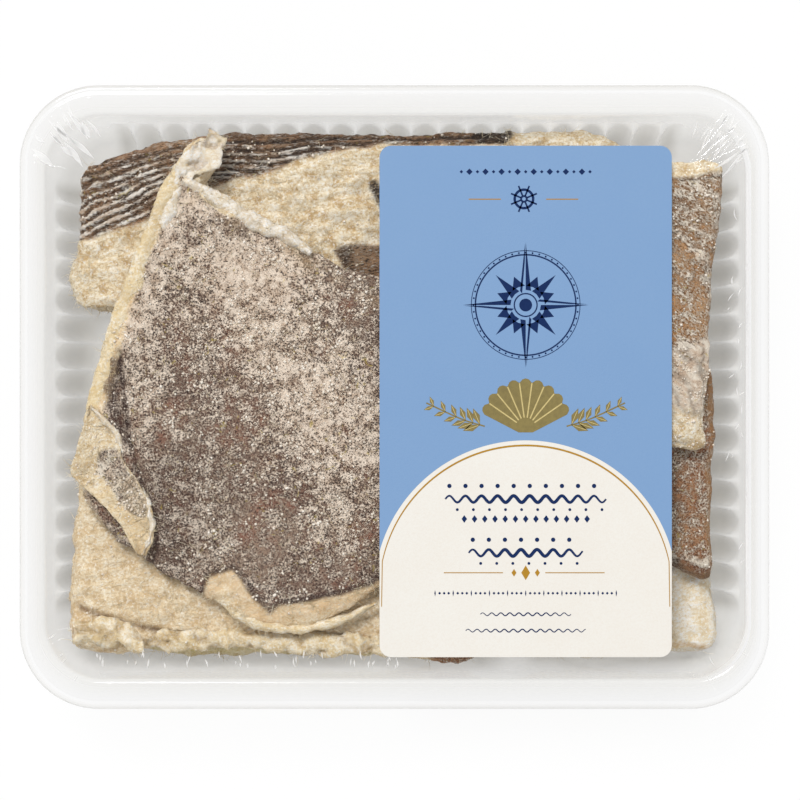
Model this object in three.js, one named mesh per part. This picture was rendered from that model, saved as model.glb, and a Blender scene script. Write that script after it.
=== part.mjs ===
import * as THREE from 'three';

// Salted dried cod: a stack of dried flank pieces in a clear ribbed tray, under a clear film
// that is sealed to the tray's flange and carries a paper label.
// Millimetres. +X runs along the tray, +Y across it towards the back, +Z up out of the tray.
// The origin is at the middle of the tray's flat underside.

// ---- tray ------------------------------------------------------------------------------
const TRAY_LENGTH = 257.2;
const TRAY_WIDTH = 214;
const TRAY_HEIGHT = 42;
const TRAY_CORNER = 27;
const SHEET = 0.7;
const MOUTH_LENGTH = 241.8;
const MOUTH_WIDTH = 194;
const MOUTH_CORNER = 20;
const MOUTH_SHIFT = 0.9;
const SKIRT_DEPTH = 4.4;
const ROLL_RADIUS = 1.4;
const LIP_RADIUS = 1.0;
const RIB_PITCH = 9.7;
const RIB_DEPTH = 3.5;
const RIB_FOOT = 4.5;
const RIB_SHOULDER = 17.3;
const RIB_TOP = 20.8;
const END_RIBS = 15;
const BACK_RIBS = 20;
const CORNER_STEPS = 7;

// How far the wall stands in from the mouth's outline: at the ribs' top, shoulder and foot,
// where the floor begins and where the ribs end on it, faded to a share of their depth.
const INSET_TOP = 2.3;
const INSET_SHOULDER = 2.8;
const INSET_FOOT = 5.4;
const INSET_FLOOR = 12;
const INSET_RIB_END = 17;
const RIB_FADE = 0.35;
const FLOOR_CORNER = 9;

// A rib's section: places along the wall in pitches, and the share of the rib's depth that
// each stands in. A plain stretch next to the ribs keeps one point a rib.
const RIBBED = [[-0.36, 0.04], [-0.13, 0.36], [0, 1], [0.13, 0.36], [0.36, 0.04]];
const POSTS = [[0, 0]];
const PLAIN = [];

// ---- film and label --------------------------------------------------------------------
const GAP = 0.3;
const FILM_MARGIN = 3;
const FILM_THICKNESS = 0.25;
const LABEL_LENGTH = 100;
const LABEL_WIDTH = 175;
const LABEL_CORNER = 4;
const LABEL_X = 44.9;
const LABEL_Y = -1.5;
const LABEL_THICKNESS = 0.25;

// ---- fish ------------------------------------------------------------------------------
// The stack's four layers lie between these heights. Each boundary waves gently, so the
// pieces are as uneven as dried fish, and a piece keeps LAYER_GAP to the layers beside it.
const LAYER_HEIGHTS = [1.45, 10.2, 20.3, 30.6, 41.0];
const LAYER_WAVES = [0, 0.8, 1.0, 1.0, 0.5];
const LAYER_GAP = 0.8;
const HIGHEST_FISH = TRAY_HEIGHT - 0.5;
const EDGE_POINTS = 36;
const RAGGED = 0.8;

// ---- meshes from loops -----------------------------------------------------------------
// A loop is a list of points round a section. Each point has a key, its place on the way
// round, so that loops with unlike numbers of points can be joined.

// Of two points with one key, the denser loop's comes first, or else the lower loop's, so
// that a sheet's two faces are split alike.
function stitch(triangles, below, above) {
  let i = 0;
  let j = 0;
  const sameCount = below.keys.length === above.keys.length;
  const belowLeads = sameCount ? below.height <= above.height : below.keys.length > above.keys.length;
  const nextKey = (loop, k) => (k + 1 < loop.keys.length ? loop.keys[k + 1] : Infinity);
  const vertex = (loop, k) => loop.first + (k % loop.keys.length);
  while (i < below.keys.length || j < above.keys.length) {
    const [keyBelow, keyAbove] = [nextKey(below, i), nextKey(above, j)];
    const belowFirst = keyBelow < keyAbove || (keyBelow === keyAbove && belowLeads);
    const stepBelow = j >= above.keys.length || (i < below.keys.length && belowFirst);
    if (stepBelow) {
      triangles.push(vertex(below, i), vertex(below, i + 1), vertex(above, j));
      i += 1;
    } else {
      triangles.push(vertex(below, i), vertex(above, j + 1), vertex(above, j));
      j += 1;
    }
  }
}

function signedVolume(points, triangles) {
  let sum = 0;
  for (let t = 0; t < triangles.length; t += 3) {
    const [a, b, c] = [points[triangles[t]], points[triangles[t + 1]], points[triangles[t + 2]]];
    sum += a.dot(new THREE.Vector3().crossVectors(b, c));
  }
  return sum / 6;
}

// A closed body through a chain of loops, with its first and last loop closed by a fan.
function bodyOfLoops(loops) {
  const points = [];
  const triangles = [];
  const placed = loops.map((loop) => {
    const first = points.length;
    loop.forEach((entry) => points.push(entry.point));
    return { first, height: loop[0].point.z, keys: loop.map((entry) => entry.key) };
  });
  for (let k = 0; k + 1 < placed.length; k += 1) {
    stitch(triangles, placed[k], placed[k + 1]);
  }
  const close = (loop, turned) => {
    const middle = new THREE.Vector3();
    const count = loop.keys.length;
    for (let k = 0; k < count; k += 1) {
      middle.addScaledVector(points[loop.first + k], 1 / count);
    }
    const centre = points.push(middle) - 1;
    for (let k = 0; k < count; k += 1) {
      const here = loop.first + k;
      const next = loop.first + ((k + 1) % count);
      triangles.push(...(turned ? [next, here, centre] : [here, next, centre]));
    }
  };
  close(placed[0], true);
  close(placed[placed.length - 1], false);
  if (signedVolume(points, triangles) < 0) {
    triangles.reverse();
  }
  const geometry = new THREE.BufferGeometry();
  geometry.setFromPoints(points);
  geometry.setIndex(triangles);
  geometry.computeVertexNormals();
  return geometry;
}

// ---- tray ------------------------------------------------------------------------------
// A rounded rectangle at height z, anticlockwise from its front right corner. The two ends
// and the back carry the section's points for every rib, and the front wall stays plain.
function rectangleLoop({ shift = 0, length, width, corner, z, section = PLAIN, depth = 0 }) {
  const loop = [];
  const halfLength = length / 2;
  const halfWidth = width / 2;
  const add = (key, x, y) => loop.push({ key, point: new THREE.Vector3(shift + x, y, z) });
  const signs = [[1, -1], [1, 1], [-1, 1], [-1, -1]];
  signs.forEach(([sx, sy], quarter) => {
    for (let step = 0; step <= CORNER_STEPS; step += 1) {
      const angle = (quarter - 1 + step / CORNER_STEPS) * (Math.PI / 2);
      const x = sx * (halfLength - corner) + corner * Math.cos(angle);
      const y = sy * (halfWidth - corner) + corner * Math.sin(angle);
      add(2 * quarter + step / CORNER_STEPS, x, y);
    }
    const count = [END_RIBS, BACK_RIBS, END_RIBS, 0][quarter];
    for (let rib = 0; rib < count; rib += 1) {
      for (const [place, share] of section) {
        const along = (rib - (count - 1) / 2 + place) * RIB_PITCH;
        const key = 2 * quarter + 1.5 + along / (count + 1) / RIB_PITCH;
        const across = (quarter === 1 ? halfWidth : halfLength) - depth * share;
        const side = [[across, along], [-along, across], [-across, -along]][quarter];
        add(key, ...side);
      }
    }
  });
  return loop;
}

function mouthLoop(z, inset, section = PLAIN, depth = 0) {
  const corner = Math.max(MOUTH_CORNER - inset, FLOOR_CORNER);
  const length = MOUTH_LENGTH - 2 * inset;
  const width = MOUTH_WIDTH - 2 * inset;
  return rectangleLoop({ shift: MOUTH_SHIFT, length, width, corner, z, section, depth });
}

function flangeLoop(z, inset) {
  const length = TRAY_LENGTH - 2 * inset;
  const width = TRAY_WIDTH - 2 * inset;
  return rectangleLoop({ length, width, corner: TRAY_CORNER - inset, z });
}

function trayGeometry() {
  const top = TRAY_HEIGHT;
  const under = TRAY_HEIGHT - SHEET;
  const hem = TRAY_HEIGHT - SKIRT_DEPTH;
  const inside = [
    mouthLoop(SHEET, INSET_RIB_END, POSTS),
    mouthLoop(SHEET, INSET_FLOOR, RIBBED, RIB_DEPTH * RIB_FADE),
    mouthLoop(RIB_FOOT, INSET_FOOT, RIBBED, RIB_DEPTH),
    mouthLoop(RIB_SHOULDER, INSET_SHOULDER, RIBBED, RIB_DEPTH),
    mouthLoop(RIB_TOP, INSET_TOP, POSTS),
    mouthLoop(top - LIP_RADIUS, 0.2),
    mouthLoop(top, -LIP_RADIUS),
  ];
  const rim = [
    flangeLoop(top, ROLL_RADIUS),
    flangeLoop(top - ROLL_RADIUS * 0.3, ROLL_RADIUS * 0.3),
    flangeLoop(top - ROLL_RADIUS, 0),
    flangeLoop(hem, 0),
    flangeLoop(hem, SHEET),
    flangeLoop(under - ROLL_RADIUS, SHEET),
    flangeLoop(under, ROLL_RADIUS + SHEET / 2),
  ];
  const outside = [
    mouthLoop(under, -LIP_RADIUS - SHEET / 2),
    mouthLoop(top - LIP_RADIUS - SHEET, 0.2 - SHEET),
    mouthLoop(RIB_TOP, INSET_TOP - SHEET, POSTS),
    mouthLoop(RIB_SHOULDER, INSET_SHOULDER - SHEET, RIBBED, RIB_DEPTH),
    mouthLoop(RIB_FOOT - SHEET, INSET_FOOT - SHEET / 2, RIBBED, RIB_DEPTH),
    mouthLoop(0, INSET_FLOOR, RIBBED, RIB_DEPTH * RIB_FADE),
    mouthLoop(0, INSET_RIB_END, POSTS),
  ];
  return bodyOfLoops([...inside, ...rim, ...outside]);
}

// ---- film and label --------------------------------------------------------------------
function plateGeometry(length, width, corner, thickness) {
  const x = length / 2 - corner;
  const y = width / 2 - corner;
  const shape = new THREE.Shape();
  shape.absarc(x, -y, corner, -Math.PI / 2, 0);
  shape.absarc(x, y, corner, 0, Math.PI / 2);
  shape.absarc(-x, y, corner, Math.PI / 2, Math.PI);
  shape.absarc(-x, -y, corner, Math.PI, Math.PI * 1.5);
  shape.closePath();
  return new THREE.ExtrudeGeometry(shape, {
    depth: thickness,
    bevelEnabled: false,
    curveSegments: CORNER_STEPS,
  });
}

// ---- fish ------------------------------------------------------------------------------
function layerSurface(layer, x, y) {
  const wave = 0.6 * Math.sin(x / 29 + 1.9 * layer) + 0.4 * Math.sin(y / 23 - 1.3 * layer + x / 71);
  return LAYER_HEIGHTS[layer] + LAYER_WAVES[layer] * wave;
}

// A ridge along the line from one point to another, falling off like a bell.
function ridgeHeight({ from, to, reach, height }, x, y) {
  const [dx, dy] = [to[0] - from[0], to[1] - from[1]];
  const along = ((x - from[0]) * dx + (y - from[1]) * dy) / (dx * dx + dy * dy);
  const held = THREE.MathUtils.clamp(along, 0, 1);
  const distance = Math.hypot(x - from[0] - held * dx, y - from[1] - held * dy);
  return height * Math.exp(-((distance / reach) ** 2));
}

// A dried flank: flat below, thin and ragged at its edge, full in the middle. `thin` is the
// edge's share of the full thickness, `taper` how far in the full thickness is reached, and
// `insets` the places of the loops near the edge.
function flankGeometry({
  outline, centre: [centreX, centreY], layer, thin, taper, points, insets = [5, 12], ridges = [],
}) {
  const corners = outline.map(([x, y]) => new THREE.Vector3(x, y, 0));
  const curve = new THREE.CatmullRomCurve3(corners, true, 'centripetal');
  const edge = curve.getSpacedPoints(points).slice(0, points);
  const centre = new THREE.Vector3(centreX, centreY, 0);
  edge.forEach((point, k) => {
    const outward = point.clone().sub(centre).normalize();
    const notch = Math.sin(2.3 * k + layer) + Math.sin(5.1 * k + outline.length);
    point.addScaledVector(outward, -RAGGED * (1 + notch / 2) / 2);
  });

  const lower = (x, y) => layerSurface(layer, x, y) + LAYER_GAP / 2;
  const upper = (x, y, inset) => {
    const room = layerSurface(layer + 1, x, y) - LAYER_GAP / 2 - lower(x, y);
    const fullness = THREE.MathUtils.smoothstep(inset, -taper / 2, taper);
    const swell = ridges.reduce((sum, ridge) => sum + ridgeHeight(ridge, x, y), 0);
    return Math.min(lower(x, y) + room * THREE.MathUtils.lerp(thin, 1, fullness) + swell, HIGHEST_FISH);
  };
  const loopAt = (placeOf, heightOf) => edge.map((point, key) => {
    const radius = point.distanceTo(centre);
    const inset = placeOf(radius);
    const spot = point.clone().lerp(centre, inset / radius);
    spot.z = heightOf(spot.x, spot.y, inset);
    return { key, point: spot };
  });
  const innermost = insets[insets.length - 1];
  const share = (part) => (radius) => innermost + (radius - innermost) * part;
  const middleHeight = (x, y, inset) => (lower(x, y) + upper(x, y, inset)) / 2;
  return bodyOfLoops([
    loopAt(share(0.5), lower),
    loopAt(() => 0.8, lower),
    loopAt(() => 0, middleHeight),
    loopAt(() => 0.8, upper),
    ...insets.map((inset) => loopAt(() => inset, upper)),
    loopAt(share(0.35), upper),
    loopAt(share(0.7), upper),
  ]);
}

// Outlines run from the top left round to the right, as seen from above.
const FLANKS = [
  {
    // The large piece on top, skin up, with its left side curled up and its lower left corner
    // folded back over it.
    name: 'flank_main',
    colour: 0xab9c8e,
    layer: 3,
    thin: 0.3,
    taper: 22,
    points: 48,
    insets: [3.5, 8, 15, 24],
    centre: [-45, 10],
    outline: [
      [-80, 67], [-77, 80], [-66, 92.5], [-60, 88], [-51, 66], [-33, 52.5], [-20.5, 46],
      [-5, 42], [16, 37], [32, 23], [37, -1], [35, -29], [21, -51], [2, -62], [-8, -69],
      [-20.5, -76], [-36, -80.5], [-51.5, -77.5], [-67, -67], [-82.5, -59], [-98, -46.5],
      [-110, -29], [-104.5, -8], [-100, 13], [-93, 33.5], [-85, 56],
    ],
    ridges: [
      { from: [-72, 88], to: [-94, 20], reach: 5, height: 3.4 },
      { from: [-94, 20], to: [-103, -14], reach: 5, height: 3.0 },
      { from: [-98, -16], to: [-88, -44], reach: 9, height: 3.2 },
      { from: [-62, 70], to: [-8, 40], reach: 5, height: 2.2 },
      { from: [-60, -70], to: [-12, -68], reach: 6, height: 1.4 },
    ],
  },
  {
    // The piece on top at the right, skin up, with a pale end towards the front.
    name: 'flank_right_top',
    colour: 0xae947d,
    layer: 3,
    thin: 0.45,
    taper: 9,
    points: EDGE_POINTS,
    centre: [77, 33],
    outline: [
      [57, 79], [84.5, 83], [108, 82.5], [113, 77], [110.5, 50], [109, 23], [106, -11],
      [102, -18], [78, -20], [52, -15.5], [42, 6], [41, 40], [43.5, 68],
    ],
  },
  {
    // The long piece behind, dark ribbed skin along its back and flesh in front of it.
    name: 'flank_back',
    colour: 0xc9b598,
    layer: 2,
    thin: 0.5,
    taper: 8,
    points: 44,
    centre: [-20, 58],
    outline: [
      [-109, 78], [-92, 86], [-74.5, 89.5], [-59, 91.8], [-22.5, 92.5], [12, 91.8],
      [44, 91.5], [75, 90.5], [83, 86], [84, 65], [57.5, 44], [30, 32], [2, 27],
      [-33, 23], [-88, 28], [-102, 30], [-111.5, 36], [-113.5, 49], [-111, 60],
    ],
    ridges: [
      { from: [-104, 40], to: [-96, 40], reach: 9, height: 0.8 },
    ],
  },
  {
    name: 'flank_right_low',
    colour: 0x907560,
    layer: 2,
    thin: 0.5,
    taper: 8,
    points: EDGE_POINTS,
    centre: [78, -21],
    outline: [
      [47, 13], [71, 19], [92, 20], [108, 16], [111.5, 6], [112, -29], [111.5, -54],
      [106, -61.5], [95, -58], [71, -56.5], [49, -55], [42, -36], [41.5, -8],
    ],
  },
  {
    // The broad flesh-up piece at the front left, rolled in at its front corner.
    name: 'flank_left_low',
    colour: 0xceb899,
    layer: 2,
    thin: 0.55,
    taper: 9,
    points: 44,
    insets: [5, 11],
    centre: [-40, -42],
    outline: [
      [-108, -25], [-101, -6], [-85, 9], [-50, 18], [-5, 17], [23, 9], [35, -15],
      [37.5, -50], [36, -81], [31, -92], [22, -93.3], [12, -92], [-5, -88.5], [-33, -88.5],
      [-62, -88], [-81.5, -86.5], [-95, -90], [-107, -89], [-112, -83], [-112.5, -70],
      [-110.5, -50],
    ],
    ridges: [
      { from: [-107, -80], to: [-92, -84], reach: 7, height: 1.2 },
    ],
  },
  {
    name: 'flank_mid_right',
    colour: 0xd7c7ad,
    layer: 1,
    thin: 0.6,
    taper: 7,
    points: EDGE_POINTS,
    centre: [78, -46],
    outline: [
      [42, -15], [58, -1], [86, 0], [105, -5], [110.5, -29], [112, -62], [112.5, -82],
      [107.5, -89], [86, -91.5], [58, -92], [44, -87], [41, -50],
    ],
  },
  {
    name: 'flank_mid_left',
    colour: 0xd3bf96,
    layer: 1,
    thin: 0.6,
    taper: 7,
    points: EDGE_POINTS,
    centre: [-36, -46],
    outline: [
      [-92, -4], [-78, 3], [-33, 2.5], [16, -0.5], [34, -15], [36.5, -50], [36.5, -84],
      [25, -91], [-5, -91.5], [-47, -91], [-84, -90.5], [-103, -87], [-108, -75],
      [-108.5, -50], [-101, -28],
    ],
  },
  {
    name: 'flank_mid_back',
    colour: 0xbfa98c,
    layer: 1,
    thin: 0.6,
    taper: 7,
    points: EDGE_POINTS,
    centre: [0, 48],
    outline: [
      [-106, 76], [-75, 85], [-23, 87], [37, 87.5], [86, 85.5], [105, 78], [107.5, 48],
      [105, 17], [86, 5], [37, 7.5], [-33, 8], [-80, 9], [-89, 14], [-92, 30], [-107, 47],
    ],
  },
  {
    name: 'flank_floor_left',
    colour: 0xcbb594,
    layer: 0,
    thin: 0.6,
    taper: 7,
    points: EDGE_POINTS,
    centre: [-46, 0],
    outline: [
      [-101, 62], [-90, 77], [-50, 80], [-8, 79], [2, 60], [4, 0], [0, -60], [-10, -79],
      [-60, -81], [-93, -78], [-103, -55], [-95, -28], [-86, -5], [-86, 26], [-96, 42],
    ],
  },
  {
    name: 'flank_floor_right',
    colour: 0xb59d82,
    layer: 0,
    thin: 0.6,
    taper: 7,
    points: EDGE_POINTS,
    centre: [56, 0],
    outline: [
      [12, 78], [50, 81], [92, 78], [103, 60], [105, 10], [104, -55], [94, -78],
      [50, -81], [13, -78], [8, -50], [11, 0], [9, 50],
    ],
  },
];

// ---- the pack --------------------------------------------------------------------------
function namedMesh(name, geometry, colour, roughness, finish = {}) {
  const material = new THREE.MeshStandardMaterial({ color: colour, roughness, metalness: 0, ...finish });
  const mesh = new THREE.Mesh(geometry, material);
  mesh.name = name;
  return mesh;
}

const clear = { transparent: true, opacity: 0.35 };
const pack = new THREE.Group();
pack.name = 'salted_dried_cod_tray';
pack.add(namedMesh('tray', trayGeometry(), 0xe4e4e2, 0.15, clear));
FLANKS.forEach((flank) => pack.add(namedMesh(flank.name, flankGeometry(flank), flank.colour, 0.85)));

const filmLength = TRAY_LENGTH - 2 * FILM_MARGIN;
const filmWidth = TRAY_WIDTH - 2 * FILM_MARGIN;
const filmCorner = TRAY_CORNER - FILM_MARGIN;
const filmPlate = plateGeometry(filmLength, filmWidth, filmCorner, FILM_THICKNESS);
const film = namedMesh('film', filmPlate, 0xf2f2f2, 0.08, clear);
film.position.z = TRAY_HEIGHT + GAP;
pack.add(film);

const labelPlate = plateGeometry(LABEL_LENGTH, LABEL_WIDTH, LABEL_CORNER, LABEL_THICKNESS);
const label = namedMesh('label', labelPlate, 0x86a8d1, 0.55);
label.position.set(LABEL_X, LABEL_Y, film.position.z + FILM_THICKNESS + GAP);
pack.add(label);

export default pack;
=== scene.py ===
import math

import bmesh
import bpy
import numpy as np
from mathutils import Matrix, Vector
from mathutils.kdtree import KDTree


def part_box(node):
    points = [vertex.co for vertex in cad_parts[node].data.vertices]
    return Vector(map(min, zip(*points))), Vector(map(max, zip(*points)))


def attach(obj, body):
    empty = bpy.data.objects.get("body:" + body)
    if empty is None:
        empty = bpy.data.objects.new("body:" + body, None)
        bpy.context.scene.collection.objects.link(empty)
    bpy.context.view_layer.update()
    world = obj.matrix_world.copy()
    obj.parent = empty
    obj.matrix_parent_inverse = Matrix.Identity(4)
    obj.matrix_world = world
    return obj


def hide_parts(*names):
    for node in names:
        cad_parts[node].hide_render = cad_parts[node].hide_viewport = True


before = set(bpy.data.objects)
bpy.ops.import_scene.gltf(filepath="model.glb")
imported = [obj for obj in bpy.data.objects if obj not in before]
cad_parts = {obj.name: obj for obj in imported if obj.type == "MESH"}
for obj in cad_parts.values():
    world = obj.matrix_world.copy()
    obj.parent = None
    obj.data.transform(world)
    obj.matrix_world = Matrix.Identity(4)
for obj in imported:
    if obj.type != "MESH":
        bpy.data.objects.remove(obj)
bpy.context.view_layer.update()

# Salted dried cod flanks in a sealed clear tray. Lengths are millimetres in the frame of the
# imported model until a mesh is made. +Y is the back of the tray and +Z points out of it.

MM = 0.001
BODY = "root"
RNG = np.random.default_rng(205)
FILM_CLEARANCE = 0.35


def box_of(node):
    """A node's lowest and highest corners."""
    low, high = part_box(node)
    return np.array(low) / MM, np.array(high) / MM


TRAY_LOW, TRAY_HIGH = box_of("tray")
FILM_LOW, FILM_HIGH = box_of("film")
LABEL_LOW, LABEL_HIGH = box_of("label")
LABEL_X, LABEL_Y = (LABEL_LOW[0] + LABEL_HIGH[0]) / 2, (LABEL_LOW[1] + LABEL_HIGH[1]) / 2
CEILING = FILM_LOW[2] - FILM_CLEARANCE

# ---------------------------------------------------------------- numbers and noise


def smoothstep(low, high, value):
    t = np.clip((value - low) / (high - low), 0.0, 1.0)
    return t * t * (3.0 - 2.0 * t)


def lattice(ix, iy, iz, seed):
    """A repeatable number from -1 to 1 for each whole-numbered point."""
    h = (ix * 374761393 + iy * 668265263 + iz * 1440662683 + seed * 1274126177) & 0xFFFFFFFF
    h = ((h ^ (h >> 13)) * 1103515245) & 0xFFFFFFFF
    return ((h ^ (h >> 16)) & 0xFFFF) / 32767.5 - 1.0


def noise(points, size, seed):
    """Smooth noise from -1 to 1 over points, with cells of the given size."""
    scaled = points / size
    cell = np.floor(scaled).astype(np.int64)
    t = scaled - cell
    t = t * t * (3.0 - 2.0 * t)
    total = np.zeros(len(points))
    for dx in (0, 1):
        for dy in (0, 1):
            for dz in (0, 1):
                weight = np.abs(1 - dx - t[:, 0]) * np.abs(1 - dy - t[:, 1]) * np.abs(1 - dz - t[:, 2])
                total += weight * lattice(cell[:, 0] + dx, cell[:, 1] + dy, cell[:, 2] + dz, seed)
    return total


def rough(points, size, octaves, seed):
    """Noise in layers, each half the size and 0.55 of the height of the last."""
    total = np.zeros(len(points))
    share = 1.0
    for octave in range(octaves):
        total += share * noise(points, size, seed + 17 * octave)
        size, share = size / 2.0, share * 0.55
    return total


def along_line(points, line):
    """Plan distance from each point to an open line, and the share of the way along it."""
    best = np.full(len(points), 1e9)
    along = np.zeros(len(points))
    line = np.array(line, float)
    steps = np.linalg.norm(np.diff(line, axis=0), axis=1)
    starts = np.concatenate([[0.0], np.cumsum(steps)])
    for k in range(len(line) - 1):
        step = line[k + 1] - line[k]
        t = np.clip(((points[:, :2] - line[k]) @ step) / (step @ step), 0.0, 1.0)
        away = np.linalg.norm(points[:, :2] - line[k] - t[:, None] * step, axis=1)
        closer = away < best
        best[closer] = away[closer]
        along[closer] = (starts[k] + t[closer] * steps[k]) / starts[-1]
    return best, along


def inside_by(points, outline):
    """Plan distance to a closed outline, positive inside it."""
    ring = np.array(list(outline) + [outline[0]], float)
    away, _ = along_line(points, ring)
    x, y = points[:, 0], points[:, 1]
    within = np.zeros(len(points), bool)
    for (x0, y0), (x1, y1) in zip(ring[:-1], ring[1:]):
        crosses = (y0 > y) != (y1 > y)
        if y0 != y1:
            within ^= crosses & (x < (x1 - x0) * (y - y0) / (y1 - y0) + x0)
    return np.where(within, away, -away)


def curve_through(points, count):
    """Points along a smooth open curve through the given ones."""
    p = np.array(points, float)
    p = np.vstack([2 * p[0] - p[1], p, 2 * p[-1] - p[-2]])
    spots = np.linspace(0, len(p) - 3, count)
    k = np.minimum(spots.astype(int), len(p) - 4)
    t = (spots - k)[:, None]
    a, b, c, d = p[k], p[k + 1], p[k + 2], p[k + 3]
    return 0.5 * (2 * b + (c - a) * t + (2 * a - 5 * b + 4 * c - d) * t**2 + (3 * b - a - 3 * c + d) * t**3)


def normals_along(line):
    """Unit vectors across a line in plan, one at each of its points."""
    tangent = np.gradient(line, axis=0)
    tangent /= np.linalg.norm(tangent, axis=1)[:, None]
    return np.column_stack([-tangent[:, 1], tangent[:, 0]])


# ---------------------------------------------------------------- meshes


def placed(name, data):
    """A new object in the scene that holds the given data."""
    thing = bpy.data.objects.new(name, data)
    bpy.context.scene.collection.objects.link(thing)
    return thing


def new_piece(name, points, faces, smooth=True):
    """An object from points and an array of faces with equal corner counts."""
    faces = np.asarray(faces, np.int32)
    corners = faces.shape[1]
    mesh = bpy.data.meshes.new(name)
    mesh.vertices.add(len(points))
    mesh.vertices.foreach_set("co", (np.asarray(points, float) * MM).astype(np.float32).ravel())
    mesh.loops.add(faces.size)
    mesh.loops.foreach_set("vertex_index", faces.ravel())
    mesh.polygons.add(len(faces))
    mesh.polygons.foreach_set("loop_start", np.arange(0, faces.size, corners, dtype=np.int32))
    mesh.update(calc_edges=True)
    if smooth:
        mesh.shade_smooth()
    return placed(name, mesh)


def close_up(mesh, *loops, smooth=True):
    """Adds a face across each loop of points, and turns every face outwards."""
    form = bmesh.new()
    form.from_mesh(mesh)
    form.verts.ensure_lookup_table()
    for loop in loops:
        form.faces.new([form.verts[k] for k in loop]).smooth = smooth
    bmesh.ops.recalc_face_normals(form, faces=form.faces)
    form.to_mesh(mesh)
    form.free()


def rows_of(items, key):
    """A vector of each item, as rows."""
    rows = np.empty(len(items) * 3, np.float32)
    items.foreach_get(key, rows)
    return rows.reshape(-1, 3).astype(float)


def points_of(mesh):
    """A mesh's points, in millimetres."""
    return rows_of(mesh.vertices, "co") / MM


def normals_of(mesh):
    return rows_of(mesh.vertex_normals, "vector")


def move_points(mesh, points):
    mesh.vertices.foreach_set("co", (points * MM).astype(np.float32).ravel())
    mesh.update()


def paint(mesh, **fields):
    """Stores fields on a mesh's points, for its material to read."""
    for name, values in fields.items():
        attribute = mesh.attributes.new(name, "FLOAT", "POINT")
        attribute.data.foreach_set("value", np.clip(values, 0.0, 1.0).astype(np.float32))


def grid_faces(rows, columns, closed=False):
    """The quads of a grid of points stored row by row."""
    wide = columns if closed else columns - 1
    r, c = np.meshgrid(np.arange(rows - 1), np.arange(wide), indexing="ij")
    a = (r * columns + c).ravel()
    b = (r * columns + (c + 1) % columns).ravel()
    return np.stack([a, b, b + columns, a + columns], axis=1)


def dress(piece, material, slot, *replaced):
    """Gives a finished piece its material and its body; the slot is not used."""
    piece.data.materials.clear()
    piece.data.materials.append(material)
    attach(piece, BODY)
    if replaced:
        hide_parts(*replaced)
    return piece


# ---------------------------------------------------------------- materials


def linear(code):
    """A colour written as rrggbb, in the linear values that shaders take."""
    parts = [int(code[k:k + 2], 16) / 255.0 for k in (0, 2, 4)]
    return tuple(p / 12.92 if p <= 0.04045 else ((p + 0.055) / 1.055) ** 2.4 for p in parts) + (1.0,)


class Graph:
    """A material's nodes, with texture coordinates in the frame's millimetres."""

    def __init__(self, name):
        self.material = bpy.data.materials.new(name)
        self.material.use_nodes = True
        self.tree = self.material.node_tree
        self.tree.nodes.clear()
        place = self.add("ShaderNodeTexCoord")
        self.millimetres = self.mapped(place.outputs["Object"], (1 / MM,) * 3)

    def add(self, kind, sockets=None, **properties):
        node = self.tree.nodes.new(kind)
        for key, value in properties.items():
            setattr(node, key, value)
        for key, value in (sockets or {}).items():
            if isinstance(value, bpy.types.NodeSocket):
                self.tree.links.new(value, node.inputs[key])
            elif isinstance(value, str):
                node.inputs[key].default_value = linear(value)
            else:
                node.inputs[key].default_value = value
        return node

    def mapped(self, vector, scale, turn=(0, 0, 0)):
        return self.add("ShaderNodeMapping", {"Vector": vector, "Scale": scale, "Rotation": turn}).outputs[0]

    def turned(self, angle, squash):
        """Coordinates squashed along a direction in plan, so that textures run that way."""
        across = self.mapped(self.millimetres, (1, 1, 1), (0, 0, -math.radians(angle)))
        return self.mapped(across, (squash, 1, 1))

    def noise(self, size, detail=2.0, roughness=0.5, distortion=0.0, vector=None):
        """Noise from 0 to 1 with features of about the given size."""
        sockets = {"Vector": vector or self.millimetres, "Scale": 1.0 / size, "Detail": detail,
                   "Roughness": roughness, "Distortion": distortion}
        return self.add("ShaderNodeTexNoise", sockets).outputs["Fac"]

    def ramp(self, value, *stops):
        """Colours or greys by value. Stops are pairs of a value and an rrggbb code or a grey."""
        node = self.add("ShaderNodeValToRGB", {"Fac": value})
        while len(node.color_ramp.elements) < len(stops):
            node.color_ramp.elements.new(0.5)
        for element, (spot, tone) in zip(node.color_ramp.elements, stops):
            element.position = spot
            element.color = linear(tone) if isinstance(tone, str) else (tone, tone, tone, 1.0)
        return node.outputs["Color"]

    def mix(self, share, below, above):
        sockets = {"Fac": share, "Color1": below, "Color2": above}
        return self.add("ShaderNodeMixRGB", sockets).outputs["Color"]

    def lay(self, below, tone, value, *stops):
        """A colour with a tone laid over it, as thickly as the ramp of a value says."""
        return self.mix(self.ramp(value, *stops), below, tone)

    def math(self, how, a, b, c=0.0):
        return self.add("ShaderNodeMath", {0: a, 1: b, 2: c}, operation=how).outputs[0]

    def blend(self, share, first, second):
        sockets = {0: share, 1: first.outputs[0], 2: second.outputs[0]}
        return self.add("ShaderNodeMixShader", sockets)

    def attribute(self, name):
        return self.add("ShaderNodeAttribute", attribute_name=name).outputs["Fac"]

    def bump(self, height, depth):
        sockets = {"Height": height, "Distance": depth * MM}
        return self.add("ShaderNodeBump", sockets).outputs["Normal"]

    def finish(self, shader):
        self.add("ShaderNodeOutputMaterial", {"Surface": shader.outputs[0]})
        return self.material

    def matt(self, colour, roughness, normal, specular=0.5):
        """The finished material of a plain opaque surface."""
        sockets = {"Base Color": colour, "Roughness": roughness, "Normal": normal,
                   "Specular IOR Level": specular}
        return self.finish(self.add("ShaderNodeBsdfPrincipled", sockets))


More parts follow.
